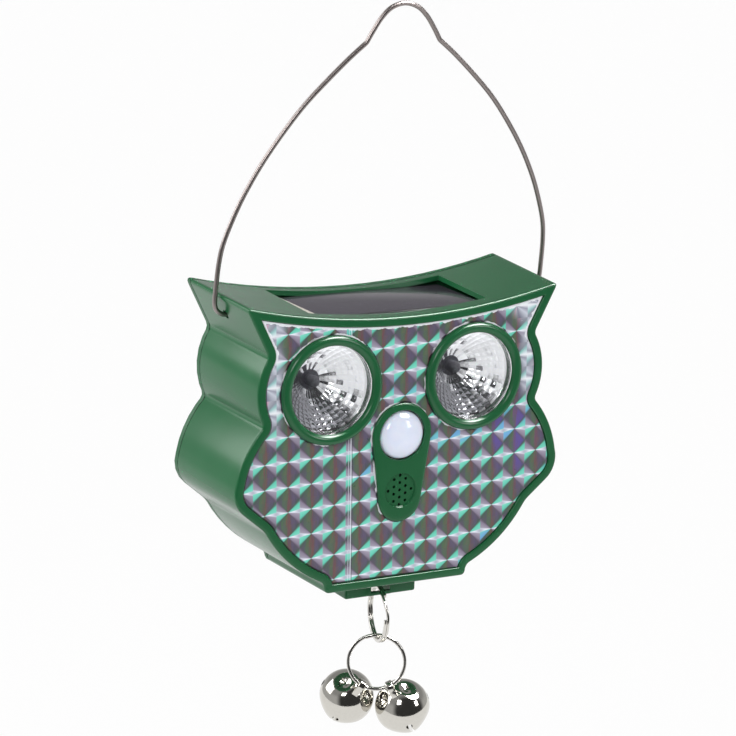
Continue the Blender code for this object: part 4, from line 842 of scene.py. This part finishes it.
def makeReflector(side, x):
    # the bowl's inner face is a grid of square facets, each pillowed by lift * (1 - p^2)(1 - q^2)
    s = eye
    columns, rows, parts = s["facetColumns"], s["facetRows"], 4
    p = np.arange(columns * parts) % parts / parts * 2 - 1
    share = np.linspace(0, 1, rows * parts + 1)**0.9
    q = (np.arange(rows * parts + 1) % parts) / parts * 2 - 1
    a = turns(columns * parts)
    radius, depth = (values[:, None] for values in bowlPoint(share))
    lift = s["facetLift"] * (radius / s["mouthRadius"]) * ((1 - p[None, :]**2) * (1 - q[:, None]**2))
    slope = math.atan2(s["bowlDepth"], s["mouthRadius"] - s["neckRadius"])
    r = radius - lift * math.sin(slope)
    inner = stacked(x + r * np.sin(a), depth - lift * math.cos(slope), s["z"] + r * np.cos(a))
    outerR, outerY = bowlPoint(np.linspace(1, 0.04, 12))
    wide, wall, front = s["mouthRadius"] + s["bowlWall"], s["bowlWall"], s["bowlFront"]
    ring = np.concatenate((outerR + wall, (wide, s["lensRadius"], s["lensRadius"])))[:, None]
    deep = np.concatenate((outerY, (front + wall, front + wall, front)))[:, None]
    shell = stacked(x + ring * np.sin(a), deep, s["z"] + ring * np.cos(a))
    bowl = surface("faceted_bowl_" + side, np.concatenate((inner, shell)), wrapRows=True, angle=14)
    return dress(bowl, platedBowl, "eye_reflector_" + side)


def makeLight(side, x):
    # the light's round tip and its barrel, on a round board
    s = eye
    a = np.linspace(0, math.pi / 2, 8)
    tip = stacked(s["ledRadius"] * np.sin(a), s["ledTip"] + s["ledRadius"] * (1 - np.cos(a)))
    board = ((s["ledRadius"], s["boardFront"]), (s["boardRadius"], s["boardFront"]),
             (s["boardRadius"], s["boardBack"]), (0, s["boardBack"]))
    light = revolve("light_" + side, np.vstack((tip, board)), x, s["z"], 64)
    return dress(light, clearLight, "eye_led_" + side)


print("eyes")
for eyeSide, eyeX in eyeSides:
    for make in (makeBezel, makeLens, makeReflector, makeLight):
        make(eyeSide, eyeX)


# Nose

def noseOutline(steps=28):
    # two circles of unlike size joined by their outer tangents, clockwise from the top
    s = nose
    lean = math.asin((s["topRadius"] - s["bottomRadius"]) / (s["domeZ"] - s["bottomZ"]))
    upper = np.linspace(math.pi / 2, -lean, steps)
    lower = np.linspace(-lean, -math.pi / 2, steps)
    half = np.vstack([stacked(radius * np.cos(a), z + radius * np.sin(a)) for radius, z, a in (
        (s["topRadius"], s["domeZ"], upper), (s["bottomRadius"], s["bottomZ"], lower))])
    return np.vstack((half, half[-2:0:-1] * (-1, 1)))


def makeNose():
    # the plate with a chamfered opening for the dome, and holes in columns in a shallow dish
    s = nose
    section = ((s["flat"], s["front"]), (0, s["front"]), (0, s["back"]))
    section = softened(section, s["edgeCuts"], 6, closed=False)
    plate = loft("nose_shield", noseOutline(), section, lean=False)

    def hollow(z, radius, steps, sides):
        # each step is (past the radius, behind the plate's front); both ends run to the middle
        rows = [(radius + past, s["front"] + behind) for past, behind in steps]
        return revolve("tool", [(0, rows[0][1]), *rows, (0, rows[-1][1])], 0, z, sides)

    combine(plate, [hollow(s["domeZ"], s["domeRadius"] + gap, s["chamfer"], 128),
                    hollow(s["grilleZ"], s["grilleRadius"], s["dish"], 96)])
    holes = []
    middle = (len(s["columns"]) - 1) / 2
    for column, count in enumerate(s["columns"]):
        for row in range(count):
            x = (column - middle) * s["columnPitch"]
            z = s["grilleZ"] + (row - (count - 1) / 2) * s["rowPitch"]
            holes.append(drum(x, z, s["holeRadius"], back=3, steps=20))
    combine(plate, [joined(holes)])
    return dress(plate, greenPlastic, "nose_plate")


def makeDome():
    # outer and inner half ellipses, joined at the back of a short skirt
    s = nose
    a = np.linspace(0, math.pi / 2, 24)
    radius, base, height = s["domeRadius"], s["domeBase"], s["domeHeight"]
    hollow = radius - s["domeWall"]
    outer = stacked(radius * np.sin(a), base - height * np.cos(a))
    inner = stacked(hollow * np.sin(a), base - (height - s["domeWall"]) * np.cos(a))
    profile = np.vstack((outer, ((radius, s["domeBack"]), (hollow, s["domeBack"])), inner[::-1]))
    return dress(revolve("sensor_dome", profile, 0, s["domeZ"], 96, 40), milkyPlastic, "pir_dome")


print("nose")
makeNose()
makeDome()


# Solar panel

def makePanel():
    # a slab with rounded corners and edges
    s = panel
    low = (-s["width"] / 2, s["front"], s["top"] - s["thickness"])
    high = (s["width"] / 2, s["front"] + s["depth"], s["top"])
    slab = keep(bevelled(boxTool(low, high, s["corner"]), s["bevel"]), 35)
    slab.name = "solar_panel_slab"
    return dress(slab, solarCells, "solar_panel")


print("solar panel")
makePanel()


# Wire bail

bail = {
    "radius": 1.0, "tilt": 6.9, "slide": 2.5, "height": 125.9, "endX": 59.0,
    # (across, up) in the bail's leaning plane, from the ear up to the hump
    "leg": (
        (71.7, 0.1), (73.9, 0.9), (75.7, 2.6), (76.5, 5.5), (76.5, 11.0), (76.1, 21.5), (74.7, 30.5),
        (70.7, 42.0), (66.2, 52.0), (59.6, 63.7), (51.2, 75.8), (43.0, 86.0), (33.8, 95.3), (24.3, 104.1),
        (16.8, 110.3),
    ),
    "hump": ((13.9, 115.2), (10.3, 120.4), (5.9, 124.3)),
}


def makeBail():
    # the wire's middle line in its own leaning plane, slid sideways by slide * (1 - (h / height)^4)
    s, hinge = bail, housing["bailHole"]
    inEar = ((s["endX"], 0), ((s["endX"] + s["leg"][0][0]) / 2, 0))
    leg = smoothThrough(inEar + s["leg"], 6)
    beyond = (-s["hump"][-1][0], s["hump"][-1][1])
    hump = smoothThrough((s["leg"][-1], *s["hump"], (0, s["height"]), beyond), 8)[:-8]
    half = np.vstack((leg, hump[1:]))
    both = np.vstack((half * (-1, 1), half[-2::-1]))
    h = both[:, 1]
    tilt = math.radians(s["tilt"])
    x = both[:, 0] + s["slide"] * (1 - (h / s["height"])**4)
    path = stacked(x, hinge["y"] - h * math.sin(tilt), hinge["z"] + h * math.cos(tilt))
    normal = (0, math.cos(tilt), math.sin(tilt))
    a = turns(20)
    return dress(sweep("bail_wire", path, normal, s["radius"] * stacked(np.cos(a), np.sin(a)), 50), steelWire,
                 "wire_bail")


print("wire bail")
makeBail()


# Bracket, rings and bells

rings = {
    "barY": 13.9, "barZ": -7.6, "barThickness": 2.2, "slack": 0.5,
    # the coil from its first to its last angle, and the angle and length of the step to its second turn
    "coil": (26, 694), "stepAt": 334, "stepOver": 52, "turnGap": 0.03, "round": 0.4,
    "upper": {"radius": 12.25, "wire": 1.6, "width": 2.2, "turn": 78.5, "split": 150},
    "lower": {"radius": 12.65, "wire": 1.4, "width": 1.8, "turn": -29.0, "split": 140},
}
bellShape = {
    "radius": 11.75, "wall": 0.8, "square": 0.045, "slot": 1.4, "slotTop": 1.0, "holeRadius": 1.4,
    "linkHeight": 16.15 - math.hypot(1.4, 1.8) / 2 - 0.6,
    "dimple": {"at": 6.2, "depth": 2.3, "spread": (2.5, 3.3)},
    "strap": ((5.0, 8.9), (4.1, 11.2), (3.0, 13.6), (1.9, 15.75), (0.0, 16.55)),
    "strapWidth": 2.8, "strapWall": 0.9, "strapRound": 0.45,
    "left": {"place": -30.0, "crown": (0.423, 0.608, 0.671)},
    "right": {"place": 30.0, "crown": (-0.401, 0.786, 0.470)},
}


def ringCentres():
    # the upper ring hangs on the bar and the lower one on the upper one's lowest wire
    s, up, low = rings, rings["upper"], rings["lower"]
    drop = math.sqrt((up["radius"] - up["wire"])**2 - (s["barThickness"] / 2)**2)
    upper = np.array((0, s["barY"], s["barZ"] - drop + s["slack"]))
    link = upper - (0, 0, up["radius"] - up["wire"] / 2)
    lower = link - (0, 0, low["radius"] - low["wire"] - up["wire"] / 2 - gap)
    return upper, lower


def ringFrame(ring):
    # directions across the ring, up it and out of its plane
    turn = math.radians(ring["turn"])
    across, up = np.array((math.cos(turn), math.sin(turn), 0)), np.array((0, 0, 1.0))
    return across, up, np.cross(across, up)


def makeRing(which, centre):
    # a flat coil of nearly two turns: centre + R (cos a across + sin a up) + offset(a) out of its plane
    s = rings[which]
    across, up, out = ringFrame(s)
    a = np.linspace(*np.radians(rings["coil"]), 300)[:, None]
    step = np.clip((a - math.radians(rings["stepAt"])) / math.radians(rings["stepOver"]), 0, 1)
    offset = (step * step * (3 - 2 * step) - 0.5) * (s["width"] / 2)
    spin = a + math.radians(s["split"])
    radial = np.cos(spin) * across + np.sin(spin) * up
    middle = centre + (s["radius"] - s["wire"] / 2) * radial + offset * out
    half, leaf = s["wire"] / 2, (s["width"] / 2 - rings["turnGap"]) / 2
    corner = softened(((half, leaf), (half, -leaf), (-half, -leaf), (-half, leaf)), rings["round"], 4)
    grid = middle[:, None] + corner[None, :, :1] * radial[:, None] + corner[None, :, 1:] * out
    return dress(surface(which + "_split_ring", grid, caps=True, angle=50), ringNickel, which + "_ring")


def bellFrame(side, lowerCentre):
    # the bell's own directions: aside (along the ring's wire), third and crown; and its centre
    s, ring = bellShape, rings["lower"]
    across, up, front = ringFrame(ring)
    a = math.radians(s[side]["place"])
    link = lowerCentre + (ring["radius"] - ring["wire"] / 2) * (math.sin(a) * across - math.cos(a) * up)
    tangent = math.cos(a) * across + math.sin(a) * up
    crown = sum(part * way for part, way in zip(s[side]["crown"], (across, up, front)))
    crown /= np.linalg.norm(crown)
    aside = tangent - tangent.dot(crown) * crown
    aside /= np.linalg.norm(aside)
    return np.stack((aside, np.cross(crown, aside), crown)), link - crown * s["linkHeight"]


def makeBell(side, lowerCentre):
    # radius = R (1 - square * low * (1 - cos 4a)) with two dimples beside the strap over the crown
    s, dimple = bellShape, bellShape["dimple"]
    axes, centre = bellFrame(side, lowerCentre)
    polar = np.linspace(0, math.pi, 73)[:, None]
    a = turns(128)
    direction = stacked(np.sin(polar) * np.cos(a), np.sin(polar) * np.sin(a), np.cos(polar))
    low = np.clip(-direction[..., 2], 0, 1) * np.minimum(np.sin(polar) * 1.5, 1)
    radius = s["radius"] * (1 - s["square"] * low * (1 - np.cos(4 * a)))
    x, y, z = np.moveaxis(direction * s["radius"], -1, 0)
    for way in (-1, 1):
        push = ((x - way * dimple["at"]) / dimple["spread"][0])**2 + (y / dimple["spread"][1])**2
        radius = radius - dimple["depth"] * np.exp(-push) * (z > 0)
    shell = surface("jingle_" + side, (direction * radius[..., None]) @ axes + centre, angle=60)
    solid = shell.modifiers.new("sheet", "SOLIDIFY")
    solid.thickness = s["wall"] / 1000
    solid.offset = -1
    keep(shell)
    # two crossed slots with a round hole at each end; the second is a little lower, so no faces coincide
    tools = []
    reach, half, hole, a = 1.3 * s["radius"], s["slot"] / 2, s["holeRadius"], turns(32)
    rect = ((-reach, -half), (reach, -half), (reach, half), (-reach, half))
    ends = stacked(np.array(((-reach,), (reach,))), hole * np.cos(a), -s["slotTop"] + hole * np.sin(a))
    for turned in (0, 1):
        slot = np.array([[(*spot, z) for spot in rect] for z in (-reach, -s["slotTop"] - 0.02 * turned)])
        for grid in (slot, ends):
            grid = grid[..., (1, 0, 2)] if turned else grid
            tools.append(surface("tool", grid @ axes + centre, caps=True))
    combine(shell, tools, angle=40)
    path = smoothThrough(s["strap"], 5)
    path = np.vstack((path, path[-2::-1] * (-1, 1)))
    path = stacked(0.0, *path.T) @ axes + centre
    half, wall = s["strapWidth"] / 2, s["strapWall"]
    ribbon = softened(((-wall, half), (0, half), (0, -half), (-wall, -half)), s["strapRound"], 6)
    return dress(joined([shell, sweep("strap", path, axes[0], ribbon, 50)]), brightNickel, "bell_" + side)


print("rings and bells")
upperCentre, lowerCentre = ringCentres()
makeRing("upper", upperCentre)
makeRing("lower", lowerCentre)
for bellSide in ("left", "right"):
    makeBell(bellSide, lowerCentre)

# The solids whose shape is right, as merged copies with rounded edges
print("back and inside")
softLooks = {
    "back_cover": ("cover_shell", coverPlastic, 0.5), "battery_door": ("battery_lid", coverPlastic, 0.3),
    "bell_bracket": ("bell_hanger", greenPlastic, 0.3), "mode_knob": ("turn_knob", blackPlastic, 0.3),
    "power_button": ("push_button", redLead, 0.25), "door_screw": ("lid_screw", steelWire, 0.1),
    **{"cover_screw_%d" % k: ("back_screw_%d" % k, steelWire, 0.1) for k in (1, 2, 3, 4)},
}
for node, (name, look, edge) in softLooks.items():
    softCopy(node, name, look, edge)
carried = {
    boardGreen: ("circuit_board", "sensor_board"), cellSleeve: ("battery_1", "battery_2", "battery_3"),
    blackPlastic: ("speaker",), greyRubber: ("panel_pad",), redLead: ("solar_lead", "speaker_lead"),
    ringNickel: ("battery_contacts_left", "battery_contacts_right", "pir_sensor",
                 "bell_ball_left", "bell_ball_right"),
}
for look, names in carried.items():
    for name in names:
        mesh = frame["nodes"][name].data
        mesh.materials.clear()
        mesh.materials.append(look)


# Camera, light and floor

view = {
    "yaw": 29.41, "pitch": 14.01, "roll": 2.11, "shift": (11.7, 1241.5, -88.9),
    "focal": 3000, "frame": 736, "sensor": 36,
}


def standing(right, up, back, spot):
    # the matrix of an object at the spot whose own x, y and z point right, up and back
    matrix = np.eye(4)
    matrix[:3] = np.stack((right, up, back, spot), -1)
    return Matrix(matrix.tolist())


def makeCamera():
    # seen point = roll pitch yaw * point + shift, with x to the right, y forward and z up
    angles = [math.radians(view[key]) for key in ("pitch", "roll", "yaw")]
    turn = np.array(Euler(angles, "ZXY").to_matrix())
    camera = addObject("camera", bpy.data.cameras.new("camera"))
    camera.data.sensor_width = view["sensor"]
    camera.data.lens = view["focal"] * view["sensor"] / view["frame"]
    camera.data.clip_end = 20
    camera.matrix_world = standing(turn[0], turn[2], -turn[1], place(-turn.T @ np.array(view["shift"])))
    bpy.context.scene.camera = camera
    return turn


cameraTurn = makeCamera()

studio = {
    # light from the world: on what isn't mirrored, mirrored at the sides and back, above and in front
    "fill": 0.72, "around": 0.50, "above": 0.32, "front": 0.04, "frontWay": (0.01, -1.0, 0.03),
    "spot": 40.0, "spotWay": (0.477, -0.309, 0.821),
    "floorZ": -0.75, "floorWhite": 0.95, "floorMiddle": (2.6, 4.5), "floorRadius": 6.2, "floorSides": 96,
    # direction from the object in the camera's own axes (right, forward, up), distance, width, height, power
    "lamps": (
        ((-0.24, -0.93, 0.28), 1.0, 0.26, 0.34, 2.6), ((0.88, -0.42, 0.16), 1.0, 0.22, 0.34, 2.0),
        ((-0.95, -0.05, 0.55), 1.1, 0.8, 0.8, 9.0),
    ),
    "lampAim": (0, 0, 60),
}


def makeWorld():
    # mirrored light is bright at the sides and back, darker above but for one bright spot, and dark in
    # front; the camera sees plain white
    world = bpy.data.worlds.new("studio")
    bpy.context.scene.world = world
    world.use_nodes = True
    look = Look("studio", world.node_tree)
    way = look.node("ShaderNodeTexCoord", out="Generated")
    front = np.array(studio["frontWay"]) / np.linalg.norm(studio["frontWay"])
    grey = {key: (*(studio[key],) * 3, 1.0) for key in ("fill", "around", "above", "front", "spot")}
    tone = look.mix(look.parts(way)[2].within(0.12, 0.45), grey["around"], grey["above"])
    tone = look.mix(look.dot(way, tuple(front)).within(0.25, 0.64), tone, grey["front"])
    tone = look.mix(look.dot(way, studio["spotWay"]).within(0.945, 0.975), tone, grey["spot"])
    tone = look.mix(look.rays("Glossy", "Transmission").within(0, 1), grey["fill"], tone)
    tone = look.mix(look.rays("Camera"), tone, (1.0, 1.0, 1.0, 1.0))
    look.finishWith(look.node("ShaderNodeBackground", values={0: tone, 1: 1.0}), "ShaderNodeOutputWorld")


def makeLamps():
    # soft boxes that face the middle of the housing
    middle = place(studio["lampAim"])
    for number, (way, distance, width, height, power) in enumerate(studio["lamps"]):
        data = bpy.data.lights.new("softbox_%d" % number, "AREA")
        data.shape = "RECTANGLE"
        data.size, data.size_y, data.energy = width, height, power
        spot = cameraTurn.T @ (distance * np.array(way) / np.linalg.norm(way)) + middle
        aim = middle - spot
        aim /= np.linalg.norm(aim)
        right = np.cross(aim, (0, 0, 1))
        right /= np.linalg.norm(right)
        addObject(data.name, data).matrix_world = standing(right, np.cross(right, aim), -aim, spot)


def makeFloor():
    # a pale disc far below and behind; the camera's rays see mostly its own white, and its shadow stays
    look = Look("pale floor")
    values = {"Base Color": (0.82, 0.82, 0.82, 1.0), "Roughness": 0.9}
    plain = look.node("ShaderNodeBsdfPrincipled", values=values)
    white = look.node("ShaderNodeEmission", values={0: (1.0, 1.0, 1.0, 1.0), 1: 1.0})
    seen = look.rays("Camera", "Glossy", "Transmission").within(0, 1) * studio["floorWhite"]
    look.finishWith(look.node("ShaderNodeMixShader", values={0: seen, 1: plain, 2: white}))
    a, (x, y), radius = turns(studio["floorSides"]), studio["floorMiddle"], studio["floorRadius"]
    ring = stacked(x + radius * np.cos(a), y + radius * np.sin(a), studio["floorZ"])
    mesh = bpy.data.meshes.new("floor")
    mesh.from_pydata(ring.tolist(), [], [list(range(len(ring)))])
    mesh.materials.append(look.material)
    floor = addObject("floor", mesh)


makeWorld()
makeLamps()
makeFloor()
bpy.context.scene.view_settings.view_transform = "Standard"

print("done")
